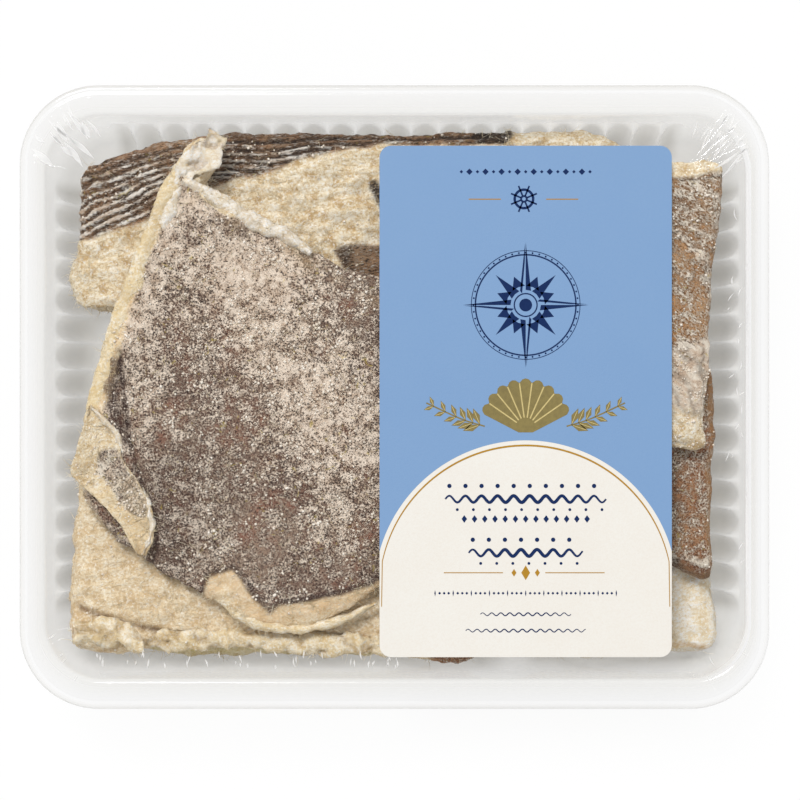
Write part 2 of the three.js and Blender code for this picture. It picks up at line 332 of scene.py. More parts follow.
def clear_plastic(name, veil, gloss, roughness, wave_size, wave_depth):
    """Clear sheet: see-through, with a gloss that grows with the angle. The field haze says how
    milky it is, and shade how grey the milk is, from the veil's first colour to its second; on the tray both
    fields carry painted shade and painted highlight lines, and on the film's white streaks painted glints."""
    g = Graph(name)
    normal = g.bump(g.noise(wave_size, detail=2.0), wave_depth)
    # The milk's grey is painted shade, set by the field shade.
    milk = g.mix(g.attribute("shade"), *veil)
    clear = g.add("ShaderNodeBsdfTransparent", {"Color": "fcfcfc"})
    front = g.add("ShaderNodeBsdfDiffuse", {"Color": milk, "Normal": normal})
    back = g.add("ShaderNodeBsdfTranslucent", {"Color": milk, "Normal": normal})
    sheet = g.blend(g.attribute("haze"), clear, g.blend(0.5, front, back))
    shine = g.add("ShaderNodeBsdfGlossy", {"Color": "ffffff", "Roughness": roughness, "Normal": normal})
    facing = g.add("ShaderNodeLayerWeight", {"Blend": 0.5, "Normal": normal}).outputs["Facing"]
    share = g.math("MULTIPLY_ADD", g.math("POWER", facing, 5.0), 0.6, gloss)
    return g.finish(g.blend(share, sheet, shine))


def fish_material(name, skin, flesh, amber_tone="c99a55", dark_tone="463a33", salt_tone="f6ead8",
                  lie=(0.0, 1.0)):
    """Dried cod: the fields flesh, amber and salt say what each place is, and dark how much darker it is,
    from dark skin and from painted shade in creases, grooves and hollows. Skin is a deep, a middle, a pale,
    a pink and a pore colour, and flesh a deep, a middle, a pale and a highlight colour. The pore colour,
    laid where the grain is low, is dark pores with painted shade in the crust's hollows; the flesh's deep
    colour in the lows of its fibres and flecks is painted shade, and its highlight colour on the flecks'
    tops a painted highlight. Lie is the angle at which the grain runs, and how much it is squashed that way."""
    g = Graph(name)
    is_flesh, is_amber = g.attribute("flesh"), g.attribute("amber")
    is_dark, salted = g.attribute("dark"), g.attribute("salt")

    blotch = g.noise(30.0, detail=5.0, roughness=0.6, distortion=0.8)
    skin_colour = g.ramp(blotch, (0.36, skin[0]), (0.5, skin[1]), (0.62, skin[2]))
    pink = g.noise(11.0, detail=3.0, roughness=0.6)
    skin_colour = g.lay(skin_colour, skin[3], pink, (0.5, 0.0), (0.66, 0.6))
    drift = g.turned(*lie)
    grain = g.noise(0.66, detail=6.0, roughness=0.78, vector=drift)
    clumps = g.noise(9.0, detail=5.0, roughness=0.68)
    flakes = g.noise(3.0, detail=5.0, roughness=0.72, vector=drift)
    thick = g.math("ADD", g.math("MULTIPLY", clumps, 0.42), g.math("MULTIPLY", flakes, 0.9))
    cover = g.math("MULTIPLY_ADD", salted, 0.6, g.math("SUBTRACT", thick, 1.56))
    cover = g.math("MULTIPLY_ADD", grain, 2.25, cover)
    cover = g.ramp(cover, (0.35, 0.0), (0.43, 0.5), (0.49, 0.9), (0.58, 1.0))
    # Pore colour where the grain is low: dark pores, with painted shade in the crust's hollows.
    skin_colour = g.lay(skin_colour, skin[4], grain, (0.41, 1.0), (0.5, 0.0))
    skin_colour = g.lay(skin_colour, "ceb299", grain, (0.51, 0.0), (0.6, 0.5))
    crystal = g.ramp(flakes, (0.4, "d3b9a0"), (0.58, salt_tone))
    skin_colour = g.mix(cover, skin_colour, crystal)
    specks = g.noise(3.4, roughness=0.6, distortion=1.4)
    skin_colour = g.lay(skin_colour, "d3bb62", specks, (0.66, 0.0), (0.71, 0.6))

    strands = g.turned(18.0, 0.3)
    fibre = g.noise(1.6, detail=6.0, roughness=0.7, distortion=2.2, vector=strands)
    mottle = g.noise(5.0, detail=6.0, roughness=0.72)
    fleck = g.noise(0.95, detail=6.0, roughness=0.78)
    flesh_colour = g.ramp(mottle, (0.38, flesh[0]), (0.48, flesh[1]), (0.6, flesh[2]))
    # The deep colour in the lows of the fibres and flecks is painted shade, and the highlight colour on the
    # flecks' tops a painted highlight.
    flesh_colour = g.lay(flesh_colour, flesh[0], fibre, (0.38, 0.75), (0.5, 0.0))
    flesh_colour = g.lay(flesh_colour, flesh[0], fleck, (0.38, 0.8), (0.48, 0.0))
    flesh_colour = g.lay(flesh_colour, flesh[3], fleck, (0.52, 0.0), (0.62, 0.9))

    colour = g.mix(is_flesh, skin_colour, flesh_colour)
    veil = g.math("MULTIPLY", is_amber, g.ramp(fibre, (0.4, 1.0), (0.6, 0.4)))
    colour = g.mix(veil, colour, amber_tone)
    # Dark skin, with the painted shade that the field dark carries.
    gloom = g.math("MULTIPLY", is_dark, g.ramp(grain, (0.5, 1.0), (0.66, 0.25)))
    colour = g.mix(gloom, colour, dark_tone)

    crust = g.math("MULTIPLY_ADD", cover, 0.3, grain)
    shreds = g.math("MULTIPLY_ADD", fleck, 0.6, g.math("MULTIPLY", fibre, 0.7))
    shreds = g.math("MULTIPLY_ADD", mottle, 0.7, shreds)
    normal = g.bump(g.mix(is_flesh, crust, shreds), 0.8)
    return g.matt(colour, g.ramp(is_amber, (0.0, 0.78), (1.0, 0.4)), normal, 0.35)


# ---------------------------------------------------------------- tray
# The wall's section from the floor outwards: height, distance in from the mouth's outline and
# the share of the ribs' depth. The flange's section: height, distance in from its own outline and
# added haze, which paints grey shade lines and clear highlight lines along the rim.

QUARTERS = ((1, -1), (1, 1), (-1, 1), (-1, -1))
MOUTH_LENGTH, MOUTH_WIDTH, MOUTH_CORNER, MOUTH_SHIFT = 241.8, 194.0, 20.0, 0.9
FLANGE_CORNER = 27.0
FLOOR_CORNER = 9.0
RIB_PITCH = 9.7
RIB_DEPTH = 3.5
RIB_COUNTS = (15, 20, 15, 0)
STEPS_A_RIB = 16
CORNER_STEPS = 22
PLAIN_STEPS = 40
WALL = (
    (0.0, 19.0, 0.0), (0.0, 17.0, 0.0), (0.04, 15.0, 0.12), (0.2, 13.0, 0.34), (0.65, 11.2, 0.58),
    (1.5, 9.3, 0.78), (2.7, 7.5, 0.92), (4.3, 6.1, 1.0), (6.0, 5.1, 1.0), (8.5, 4.3, 1.0),
    (11.5, 3.7, 1.0), (14.5, 3.2, 1.0), (18.0, 2.72, 1.0), (21.0, 2.4, 1.0), (23.0, 2.2, 0.95),
    (24.4, 2.06, 0.78), (25.5, 1.95, 0.5), (26.4, 1.86, 0.24), (27.2, 1.78, 0.06), (27.8, 1.7, 0.0),
    (32.0, 1.25, 0.0), (36.4, 0.77, 0.0), (37.2, 0.68, 0.0), (39.6, 0.42, 0.0), (40.8, 0.2, 0.0),
    (41.5, -0.15, 0.0), (41.9, -0.6, 0.0), (42.0, -1.2, 0.0),
)
FLANGE = (
    (42.0, 3.7, 0.0), (42.0, 3.2, 0.0), (41.85, 2.85, -0.04), (41.58, 2.55, -0.08), (41.55, 2.2, -0.08),
    (41.7, 1.8, 0.03), (41.66, 1.25, 0.07), (41.42, 0.7, 0.1), (40.95, 0.26, 0.1), (40.2, 0.0, 0.1),
    (39.2, 0.0, 0.1), (38.2, 0.0, 0.1), (37.6, 0.05, 0.1),
)


def lobe(phase):
    """The share of the ribs' depth, by the distance in pitches from the middle of the hollow
    between two ribs: a round hollow, with a narrow rib at each side."""
    spread = np.minimum(1.0, (1.0 - 2.0 * np.abs(phase)) * 1.04)
    return (1.0 - np.sqrt(1.0 - (0.97 * (1.0 - spread)) ** 2)) / (1.0 - math.sqrt(1.0 - 0.97**2))


def tray_columns():
    """Places round the tray, anticlockwise. Each has its corner's or side's signs, outward
    normal, place along the side, share of the ribs' depth, and 1 if it is in a corner."""
    columns = []
    for quarter, (sx, sy) in enumerate(QUARTERS):
        for step in range(CORNER_STEPS + 1):
            angle = (quarter - 1 + step / CORNER_STEPS) * math.pi / 2
            columns.append((sx, sy, math.cos(angle), math.sin(angle), 0.0, 0.0, 1.0))
        nx, ny = ((1, 0), (0, 1), (-1, 0), (0, -1))[quarter]
        count = RIB_COUNTS[quarter]
        steps = count * STEPS_A_RIB if count else PLAIN_STEPS
        reach = count * RIB_PITCH / 2 if count else MOUTH_LENGTH / 2 - MOUTH_CORNER - 2
        for spot in np.linspace(-reach, reach, steps + 1):
            phase = (spot / RIB_PITCH + (0 if count % 2 else 0.5) + 0.5) % 1.0 - 0.5
            share = lobe(0.5 - abs(phase)) if count else 0.0
            columns.append((nx, ny, nx, ny, spot, share, 0.0))
    return np.array(columns)


COLUMNS = tray_columns()


def ring(length, width, corner, shift, z, depth=0.0):
    """A loop of the tray at one height, ribbed to the given depth."""
    sx, sy, nx, ny, spot, share, curved = COLUMNS.T
    cx = np.where(curved > 0, sx * (length / 2 - corner), 0.0)
    cy = np.where(curved > 0, sy * (width / 2 - corner), 0.0)
    reach = np.where(curved > 0, corner, np.where(np.abs(nx) > 0.5, length / 2, width / 2))
    reach = reach - depth * share
    x = cx + nx * reach - np.where(curved > 0, 0.0, ny * spot)
    y = cy + ny * reach + np.where(curved > 0, 0.0, nx * spot)
    return np.stack([x + shift, y, np.full(len(x), z)], axis=1)


def wall_ring(z, inset, share):
    corner = max(MOUTH_CORNER - inset, FLOOR_CORNER)
    length, width = MOUTH_LENGTH - 2 * inset, MOUTH_WIDTH - 2 * inset
    return ring(length, width, corner, MOUTH_SHIFT, z, RIB_DEPTH * share)


def flange_ring(z, inset):
    length, width = TRAY_HIGH[0] - TRAY_LOW[0], TRAY_HIGH[1] - TRAY_LOW[1]
    return ring(length - 2 * inset, width - 2 * inset, FLANGE_CORNER - inset, 0.0, z)


def tray_haze_and_painted_shade(walls, food):
    """How milky the tray is at each place of its walls and then its flange, and how grey, with painted
    shade, painted shadow and painted highlight lines laid in.
    """
    heights, _, shares = np.array(WALL).T
    _, _, nx, ny, _, depth, curved = COLUMNS.T
    # Painted shade in the hollows between the ribs.
    hollow = shares[:, None] ** 0.5 * (1.0 - depth) * (curved < 0.5)
    hollow[:, np.abs(ny + 1) < 0.01] = 0.0
    # Painted shade, deeper towards the floor of the well.
    low = smoothstep(28.0, 4.0, heights)[:, None]
    spots = np.concatenate([points_of(piece.data)[::7] for piece in food])
    away = plan_distance(spots, walls - (3.0, -3.0, 0.0)).reshape(hollow.shape)
    back_half = smoothstep(-90.0, -45.0, walls[:, 1]).reshape(hollow.shape)
    right, behind, front = np.clip(nx, 0.0, 1.0) ** 2, np.clip(ny, 0.0, 1.0), np.clip(-ny, 0.0, 1.0)
    # A plain milkiness, with painted shade set by side after how the key light falls: lighter on the back
    # and front walls and the front of the right wall, darker low at the back of the right wall.
    milk_and_painted_shade = 0.13 - 0.09 * behind - 0.05 * front - 0.06 * right * (1 - back_half)
    milk_and_painted_shade = milk_and_painted_shade + 0.26 * low + 0.3 * hollow + 0.08 * right * low * back_half
    # Painted shadow of the fish on the walls, offset down and to the right of them.
    painted_fish_shadow = np.exp(-away / (2.0 + 0.8 * front)) * low**0.3
    milk_and_painted_shade = np.clip(milk_and_painted_shade + (0.25 - 0.2 * right + 0.4 * behind + 0.18 * front) * painted_fish_shadow, 0.0, 1.0)

    hazes = 0.32 + 0.6 * milk_and_painted_shade
    # High on the right wall the sheet turns clear, so the white floor shows as a painted highlight line,
    # with a grey painted shade line at its top edge.
    hazes *= 1.0 - right * np.interp(heights, (36.4, 37.2, 41.5, 41.95), (0, 1, 1, 0))[:, None]
    edge = 0.05 * right * np.interp(heights, (41.5, 41.9), (0, 1))[:, None]
    # Painted shade on the flange: greyer at the back and left, clearer at the front and right. Its rows add
    # grey shade lines and clear highlight lines.
    painted_side_shade = 0.085 - 0.045 * nx + 0.065 * ny
    lines = np.array([haze for _, _, haze in FLANGE])[:, None] * (1.0 + 0.9 * ny**2)
    hazes = np.vstack([hazes + edge, np.maximum(lines + painted_side_shade, 0.0)])
    shades = np.vstack([np.clip(milk_and_painted_shade + edge, 0.0, 1.0), np.maximum(2.0 * lines, 0.0)])
    return hazes.ravel(), shades.ravel()


def build_tray(food):
    """The tray as one open sheet: floor, ribbed walls, flange and skirt."""
    walls = [wall_ring(*row) for row in WALL]
    rings = walls + [flange_ring(z, inset) for z, inset, _ in FLANGE]
    count = len(COLUMNS)
    piece = new_piece("tray_shell", np.concatenate(rings), grid_faces(len(rings), count, closed=True))
    close_up(piece.data, range(count))
    haze, shade = tray_haze_and_painted_shade(np.concatenate(walls), food)
    paint(piece.data, haze=haze, shade=shade)
    material = clear_plastic("clear_tray", ("efede7", "8a8577"), 0.03, 0.12, 14.0, 0.10)
    return dress(piece, material, "tray_plastic", "tray")


# ---------------------------------------------------------------- film
# The film is one sheet of loops, ever further in from its outline, with fine pleats at its corners.

FILM_CORNER = 24.0
FILM_STEPS = 60
FILM_LIFT = 0.1
GLINT_DROP = 0.02
FILM_RINGS = (0.0, 0.5, 1.2, 2.0, 3.0, 4.0, 5.0, 6.0, 7.2, 8.5, 10.0, 11.5, 13.0, 15.0, 17.0, 19.5, 22.0,
              25.0, 29.0, 34.0, 40.0, 47.0, 55.0, 64.0, 74.0, 84.0, 94.0)


def film_ring(inset):
    """A loop of the film, with its pleats, as points."""
    length, width = FILM_HIGH[0] - FILM_LOW[0] - 2 * inset, FILM_HIGH[1] - FILM_LOW[1] - 2 * inset
    corner = max(FILM_CORNER - inset * 0.85, 2.5)
    corner = min(corner, length / 2 - 0.5, width / 2 - 0.5)
    loop, places = [], []
    for quarter, (sx, sy) in enumerate(QUARTERS):
        for step in range(FILM_STEPS + 1):
            angle = (quarter - 1 + step / FILM_STEPS) * math.pi / 2
            loop.append((sx * (length / 2 - corner) + corner * math.cos(angle),
                         sy * (width / 2 - corner) + corner * math.sin(angle)))
            places.append((quarter, step / FILM_STEPS))
        long_side = quarter % 2
        side = (length if long_side else width) - 2 * corner
        along = FILM_STEPS if long_side else int(FILM_STEPS * 0.8)
        start = np.array(loop[-1])
        angle = quarter * math.pi / 2
        for step in range(1, along):
            loop.append(tuple(start + np.array([-math.sin(angle), math.cos(angle)]) * side * step / along))
            places.append((quarter + 0.5, step / along))
    points = np.column_stack([loop, np.full(len(loop), FILM_LOW[2] + FILM_LIFT)])
    spot, share = np.array(places).T
    reach = float(smoothstep(0.0, 2.5, inset) * smoothstep(30.0, 9.0, inset))
    pleat = np.abs(np.sin(spot * 7.1 + share * 38.0 + 0.9 * np.sin(share * 17.0 + spot)))
    height = np.where(spot == np.floor(spot), pleat * reach * 0.32, 0.0)
    height += 0.05 * rough(points * (1, 1, 0), 24.0, 3, 5)
    points[:, 2] += np.clip(height, -0.05, 0.4)
    return points


def build_film():
    """The film over the mouth, clear all over."""
    loops = [film_ring(inset) for inset in FILM_RINGS]
    count = len(loops[0])
    piece = new_piece("lid_film", np.concatenate(loops), grid_faces(len(loops), count, closed=True))
    close_up(piece.data, range((len(loops) - 1) * count, len(loops) * count))
    clear = np.zeros(len(piece.data.vertices))
    paint(piece.data, haze=clear, shade=clear)
    material = clear_plastic("clear_film", ("ffffff", "dddddd"), 0.012, 0.06, 9.0, 0.05)
    return dress(piece, material, "lid_film", "film")


def painted_glint_marks():
    """Painted glints: white streaks where the film is drawn over the corners and along two of its sides,
    standing in for the light that its wrinkles catch. Each has its start, its direction, its length and its
    width."""
    marks = []
    corners = ((-1, 1, 15, 13, 2.6, (0.6, -0.8)), (1, 1, 24, 13, 1.1, (-0.45, -0.9)),
               (-1, -1, 4, 5, 0.5, (0.6, 0.8)), (1, -1, 6, 8, 0.5, (-0.5, 0.85)))
    for sx, sy, count, longest, widest, heading in corners:
        middle = np.array([sx * (FILM_HIGH[0] - FILM_CORNER), sy * (FILM_HIGH[1] - FILM_CORNER)])
        for _ in range(count):
            turn = math.radians(RNG.uniform(8, 82))
            start = RNG.uniform(13.0, 24.0)
            way = np.array([sx * math.cos(turn), sy * math.sin(turn)])
            ahead = np.array(heading) - 0.7 * way + RNG.normal(0, 0.2, 2)
            ahead /= np.linalg.norm(ahead)
            marks.append((middle + way * start, ahead, RNG.uniform(0.3, 1.0) * longest,
                          RNG.uniform(0.25, 1.0) * widest))
    sides = ((40, (-112, 2), (-93.0, -89.0), (0, 0.2), (1.0, 3.6), (0.3, 0.6)),
             (22, (113.0, 120.5), (-60, 70), (0.5, 0.5), (1.0, 4.5), (0.25, 0.5)))
    for count, across, along, slant, reach, wide in sides:
        for _ in range(count):
            spot = np.array([RNG.uniform(*across), RNG.uniform(*along)])
            way = np.array([RNG.normal(*slant), 1.0])
            marks.append((spot, way / np.linalg.norm(way), RNG.uniform(*reach), RNG.uniform(*wide)))
    # Three long painted highlight lines along the right edge of the mouth.
    for low, high in ((-73, -22), (-28, 31), (24, 79)):
        marks.append((np.array([120.7, low]), np.array([0.0, 1.0]), high - low, 0.85))
    return marks


def build_painted_glints():
    """The painted glints as thin bowed white slivers on the film."""
    points, faces, steps = [], [], 7
    for spot, way, reach, wide in painted_glint_marks():
        side = np.array([-way[1], way[0]])
        bow = RNG.normal(0, 0.06) * min(reach, 5.0)
        first = len(points)
        for t in np.linspace(0, 1, steps):
            middle = spot + way * reach * t + side * bow * math.sin(math.pi * t)
            half = wide / 2 * math.sin(math.pi * (0.04 + 0.92 * t)) ** 1.5
            for sign in (-1, 1):
                points.append((*(middle + side * half * sign), FILM_HIGH[2] - GLINT_DROP))
        faces += [(k, k + 1, k + 3, k + 2) for k in range(first, first + 2 * steps - 2, 2)]
    piece = new_piece("film_painted_glints", np.array(points), faces)
    paint(piece.data, haze=np.full(len(points), 0.85), shade=np.zeros(len(points)))
    material = clear_plastic("film_painted_glint", ("ffffff", "ffffff"), 0.05, 0.2, 3.0, 0.1)
    return dress(piece, material, "lid_film")


# ---------------------------------------------------------------- label
# Flat printed shapes stand on the label in thin steps. Places are from the label's middle.

CREAM, BLUE, GOLD = "e0ddd6", "7395bd", "aa7f26"
NAVY, OLIVE, STRAW = "0d2450", "80713a", "c8b67a"
PRINT_BASE, PRINT_STEP = 0.14, 0.03
CORNER = 4.0
ARCH, ARCH_Y = 51.9, -65.2


def paper(name, tone, fleck, size=0.6, shine=0.5):
    """Printed paper: its colour with a faint grain of another tone, and a fine tooth."""
    g = Graph(name)
    grain = g.noise(size, detail=3.0)
    broad = g.noise(18.0)
    colour = g.lay(tone, fleck, grain, (0.4, 0.0), (0.7, 0.35))
    colour = g.lay(colour, fleck, broad, (0.35, 0.0), (0.75, 0.25))
    return g.matt(colour, 0.5, g.bump(grain, 0.02), shine)


def arc(x, y, radius, start, end, steps):
    """Points along an arc between two angles in degrees."""
    turns = np.radians(np.linspace(start, end, steps + 1))
    return [(x + radius * math.cos(t), y + radius * math.sin(t)) for t in turns]


def rounded(half_x, half_y, radius):
    """A rectangle round the middle, with round corners."""
    return [point for quarter, (sx, sy) in enumerate(QUARTERS)
            for point in arc(sx * (half_x - radius), sy * (half_y - radius), radius,
                             90 * quarter - 90, 90 * quarter, 10)]


def stroke(line, width, taper=0.0):
    """The outline of a line drawn with a pen of the given width, thinner at its ends by taper."""
    line = np.array(line, float)
    t = np.linspace(0, 1, len(line))
    half = width / 2 * (1 - taper * np.abs(2 * t - 1) ** 2)
    side = normals_along(line) * half[:, None]
    left, right = line + side, line - side
    return [tuple(p) for p in left] + [tuple(p) for p in right[::-1]]


def disc(x, y, radius, steps):
    return arc(x, y, radius, 0, 360, steps)[:-1]


def diamond(x, y, wide, high):
    return [(x - wide / 2, y), (x, y - high / 2), (x + wide / 2, y), (x, y + high / 2)]


def wave(x0, x1, y, height, length, steps):
    xs = np.linspace(x0, x1, steps)
    return [(x, y + height * math.sin(2 * math.pi * (x - x0) / length)) for x in xs]


def wheel(x, y, size):
    """A plain ship's wheel of the given width, as outlines."""
    half = size / 2
    shapes = [stroke(arc(x, y, half * share, 0, 359.5, 40), size * thick)
              for share, thick in ((0.66, 0.09), (0.2, 0.07))]
    for k in range(8):
        t = math.pi / 8 + math.pi / 4 * k
        spoke = [(x + half * 0.24 * math.cos(t), y + half * 0.24 * math.sin(t)),
                 (x + half * math.cos(t), y + half * math.sin(t))]
        shapes.append(stroke(spoke, size * 0.06))
    return shapes


def print_shapes(name, outlines, material, level):
    """One flat printed piece made of closed outlines, on a step of the given level."""
    form = bmesh.new()
    z = LABEL_HIGH[2] - PRINT_BASE + level * PRINT_STEP
    for outline in outlines:
        verts = [form.verts.new(((LABEL_X + x) * MM, (LABEL_Y + y) * MM, z * MM)) for x, y in outline]
        edges = [form.edges.new((verts[k], verts[(k + 1) % len(verts)])) for k in range(len(verts))]
        filled = bmesh.ops.triangle_fill(form, use_beauty=True, edges=edges, normal=(0, 0, 1))
        for face in [f for f in filled["geom"] if isinstance(f, bmesh.types.BMFace)]:
            if face.normal.z < 0:
                face.normal_flip()
    mesh = bpy.data.meshes.new(name)
    form.to_mesh(mesh)
    form.free()
    dress(placed(name, mesh), material, "label_paper")


def build_label():
    """The sheet of paper with its fields of colour and its ornaments."""
    half_x, half_y = (LABEL_HIGH[0] - LABEL_LOW[0]) / 2, (LABEL_HIGH[1] - LABEL_LOW[1]) / 2
    edge = rounded(half_x, half_y, CORNER)
    count = len(edge)
    low, high = LABEL_LOW[2], LABEL_HIGH[2]
    rings = []
    for z, inset in ((low + 0.02, 0.03), (low + 0.06, 0.0), (high - 0.17, 0.0), (high - 0.14, 0.03)):
        share = 1 - inset / half_x
        rings.append([(LABEL_X + x * share, LABEL_Y + y * share, z) for x, y in edge])
    base = new_piece("label_sheet", np.concatenate(rings), grid_faces(4, count, closed=True), smooth=False)
    close_up(base.data, range(count)[::-1], range(3 * count, 4 * count), smooth=False)
    dress(base, paper("label_cream", CREAM, "d9d0c4"), "label_paper", "label")

    foot = math.degrees(math.acos(half_x / ARCH))
    field = [(half_x, half_y - CORNER), *arc(half_x - CORNER, half_y - CORNER, CORNER, 0, 90, 10)[1:],
             *arc(CORNER - half_x, half_y - CORNER, CORNER, 90, 180, 10),
             *arc(0, ARCH_Y, ARCH, 180 - foot, foot, 72)]
    ribbon = stroke([(half_x - 0.7, ARCH_Y - 5), *arc(0, ARCH_Y, ARCH - 1.75, 12, 168, 72),
                     (0.7 - half_x, ARCH_Y - 5)], 0.62, 0.55)
    rules = [stroke([(x0, y), (x1, y)], width) for x0, x1, y, width in (
        (-19.5, -8.5, 69.2, 0.35), (7, 18, 69.2, 0.35), (-28, -7.8, -58.6, 0.3), (6.7, 27, -58.6, 0.3))]
    studs = [diamond(x, -58.6, wide, high)
             for x, wide, high in ((-4.0, 1.7, 2.6), (0, 3.0, 5.0), (4.0, 1.7, 2.6))]
    leaves, veins = shell_motif()
    print_shapes("label_field", [field], paper("print_blue", BLUE, "6c90bb"), 0.7)
    print_shapes("label_gold", [ribbon, *rules, *studs], paper("print_gold", GOLD, "a1741f", 1.5, 0.15), 1.8)
    print_shapes("label_navy", navy_motifs(), paper("print_navy", NAVY, "173160", 1.2, 0.1), 1.8)
    print_shapes("label_olive", leaves, paper("print_olive", OLIVE, "5c4f28", 1.6), 1.8)
    print_shapes("label_straw", veins, paper("print_straw", STRAW, "a08c4e", 1.2), 2.8)


def navy_motifs():
    """A row of lozenges, a wheel, a compass rose over waves, and bands of small ornaments."""
    shapes = [diamond(x, 78.6, 2.2 if k % 2 else 1.2, 2.2 if k % 2 else 1.2)
              for k, x in enumerate(np.linspace(-22, 22, 17))]
    shapes += wheel(-0.6, 69.3, 9.6)
    cx, cy = 0.0, 33.0
    for k in range(16):
        turn = math.pi / 8 * k
        reach, wide = (21.5, 5.2) if k % 4 == 0 else (14.5, 5.2) if k % 4 == 2 else (10.5, 6.6)
        tip = (cx + reach * math.sin(turn), cy + reach * math.cos(turn))
        for side in ((1,) if k % 4 == 0 else (1, -1)):
            flank = (cx + wide * math.sin(turn + side * 0.36), cy + wide * math.cos(turn + side * 0.36))
            foot = (cx + wide * math.sin(turn), cy + wide * math.cos(turn))
            shapes.append([tip, flank, foot])
        if k % 4 == 0:
            rim = [(cx + r * math.sin(turn - a), cy + r * math.cos(turn - a))
                   for r, a in ((21.0, 0.012), (wide, 0.38), (wide * 0.8, 0.3), (15.0, 0.02))]
            shapes.append(rim)
    shapes.append(disc(cx, cy, 2.2, 30))
    for radius, steps, width in ((3.9, 50, 0.45), (17.2, 90, 0.5), (18.6, 90, 0.25)):
        shapes.append(stroke(arc(cx, cy, radius, 0, 359.5, steps), width))
    shapes += [disc(cx + 17.9 * math.cos(t), cy + 17.9 * math.sin(t), 0.32, 10)
               for t in np.linspace(0, 2 * math.pi, 49)[:-1]]
    for reach, y in ((27.5, -31.8), (19.5, -50.2)):
        shapes.append(stroke(wave(-reach, reach, y - 1.6, 1.9 * 0.6, 5.5, 160), 1.5 * 0.8, 0.5))
        shapes += [disc(x, y + 2.9, 0.75, 14) for x in np.arange(1.4 - reach, reach - 0.5, 5.5)]
        shapes += [disc(x, y - 5.2, 0.5, 12) for x in np.arange(4.1 - reach, reach - 0.5, 5.5)]
    shapes += [diamond(x, -40.2, 1.9, 2.6) for x in np.arange(-21, 21.1, 3.5)]
    shapes += [diamond(x, -65.6, 1.0 if k % 4 else 0.5, 1.0 if k % 4 else 2.2)
               for k, x in enumerate(np.arange(-31, 31.1, 1.55))]
    for reach, y, steps in ((15.5, -72.8, 90), (20.5, -78.4, 120)):
        shapes.append(stroke(wave(-reach, reach, y, 0.5, 3.1, steps), 0.42, 0.4))
    return shapes


def shell_motif():
    """A fan shell between two sprigs of leaves: the filled shapes and the pale veins on them."""
    filled, pale = [], []
    cx, cy = 0.0, -2.0
    fan = [(cx - 2.4, cy - 8.6), (cx + 2.4, cy - 8.6)]
    for k in range(9):
        middle = math.radians(158 - k * 17)
        fan += [(cx + r * math.cos(middle + a), cy - 6 + r * math.sin(middle + a))
                for r, a in ((14.6, 0.14), (15.6, 0.07), (15.9, 0.0), (15.6, -0.07), (14.6, -0.14))]
    filled.append(fan[:2] + fan[2:][::-1])
    for k in range(8):
        turn = math.radians(149.5 - k * 17)
        pale.append(stroke([(cx + 3.5 * math.cos(turn), cy - 7 + 3.5 * math.sin(turn)),
                            (cx + 14.4 * math.cos(turn), cy - 6 + 14.4 * math.sin(turn))], 0.45))
    for side in (-1, 1):
        stem = curve_through([(side * 14, cy - 6.5), (side * 22, cy - 4), (side * 34, cy + 1.5)], 20)
        filled.append(stroke(stem, 0.5))
        for k, spot in enumerate(stem[2:19:3]):
            for lift in (-1, 1):
                turn = math.atan2(0.45, side) + lift * 0.75
                size = 6.2 - 0.5 * k
                tip = spot + np.array([math.cos(turn), math.sin(turn)]) * size
                middle = (spot + tip) / 2
                across = np.array([-math.sin(turn), math.cos(turn)]) * size * 0.2
                filled.append([tuple(spot), tuple(middle + across), tuple(tip), tuple(middle - across)])
                pale.append(stroke([tuple(spot * 0.9 + tip * 0.1), tuple(spot * 0.15 + tip * 0.85)], 0.2))
    return filled, pale


# ---------------------------------------------------------------- fish

SOFT_DEPTH = 1.6
STEEP = 0.45
STRIP_CELL = 0.75


def grown(node, cell):
    """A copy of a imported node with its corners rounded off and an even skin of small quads."""
    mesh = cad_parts[node].data.copy()
    form = bmesh.new()
    form.from_mesh(mesh)
    bmesh.ops.remove_doubles(form, verts=form.verts, dist=1e-5)
    form.to_mesh(mesh)
    form.free()
    source = placed(node + "_form", mesh)
    source.modifiers.new("round", "SUBSURF").levels = 2
    even = source.modifiers.new("even", "REMESH")
    even.mode = "VOXEL"
    even.voxel_size = cell * MM
    even.use_smooth_shade = True
    bpy.context.view_layer.update()
    result = bpy.data.meshes.new_from_object(source.evaluated_get(bpy.context.evaluated_depsgraph_get()))
    bpy.data.objects.remove(source)
    for name in [a.name for a in result.attributes if a.domain in ("POINT", "CORNER")]:
        if name not in ("position", ".corner_vert", ".corner_edge", "sharp_face"):
            result.attributes.remove(result.attributes[name])
    result.materials.clear()
    return placed(node.replace("flank", "cod"), result)


def plan_distance(spots, points):
    """Plan distance from each point to the nearest spot."""
    tree = KDTree(len(spots))
    for k, (x, y, _) in enumerate(spots):
        tree.insert((x, y, 0.0), k)
    tree.balance()
    return np.array([tree.find((x, y, 0.0))[2] for x, y, _ in points])


def soft_ceiling(z):
    """Heights pressed down so that they stay under the film."""
    over = np.maximum(z - (CEILING - SOFT_DEPTH), 0.0)
    return np.where(over > 0.0, CEILING - SOFT_DEPTH + SOFT_DEPTH * (1.0 - np.exp(-over / SOFT_DEPTH)), z)


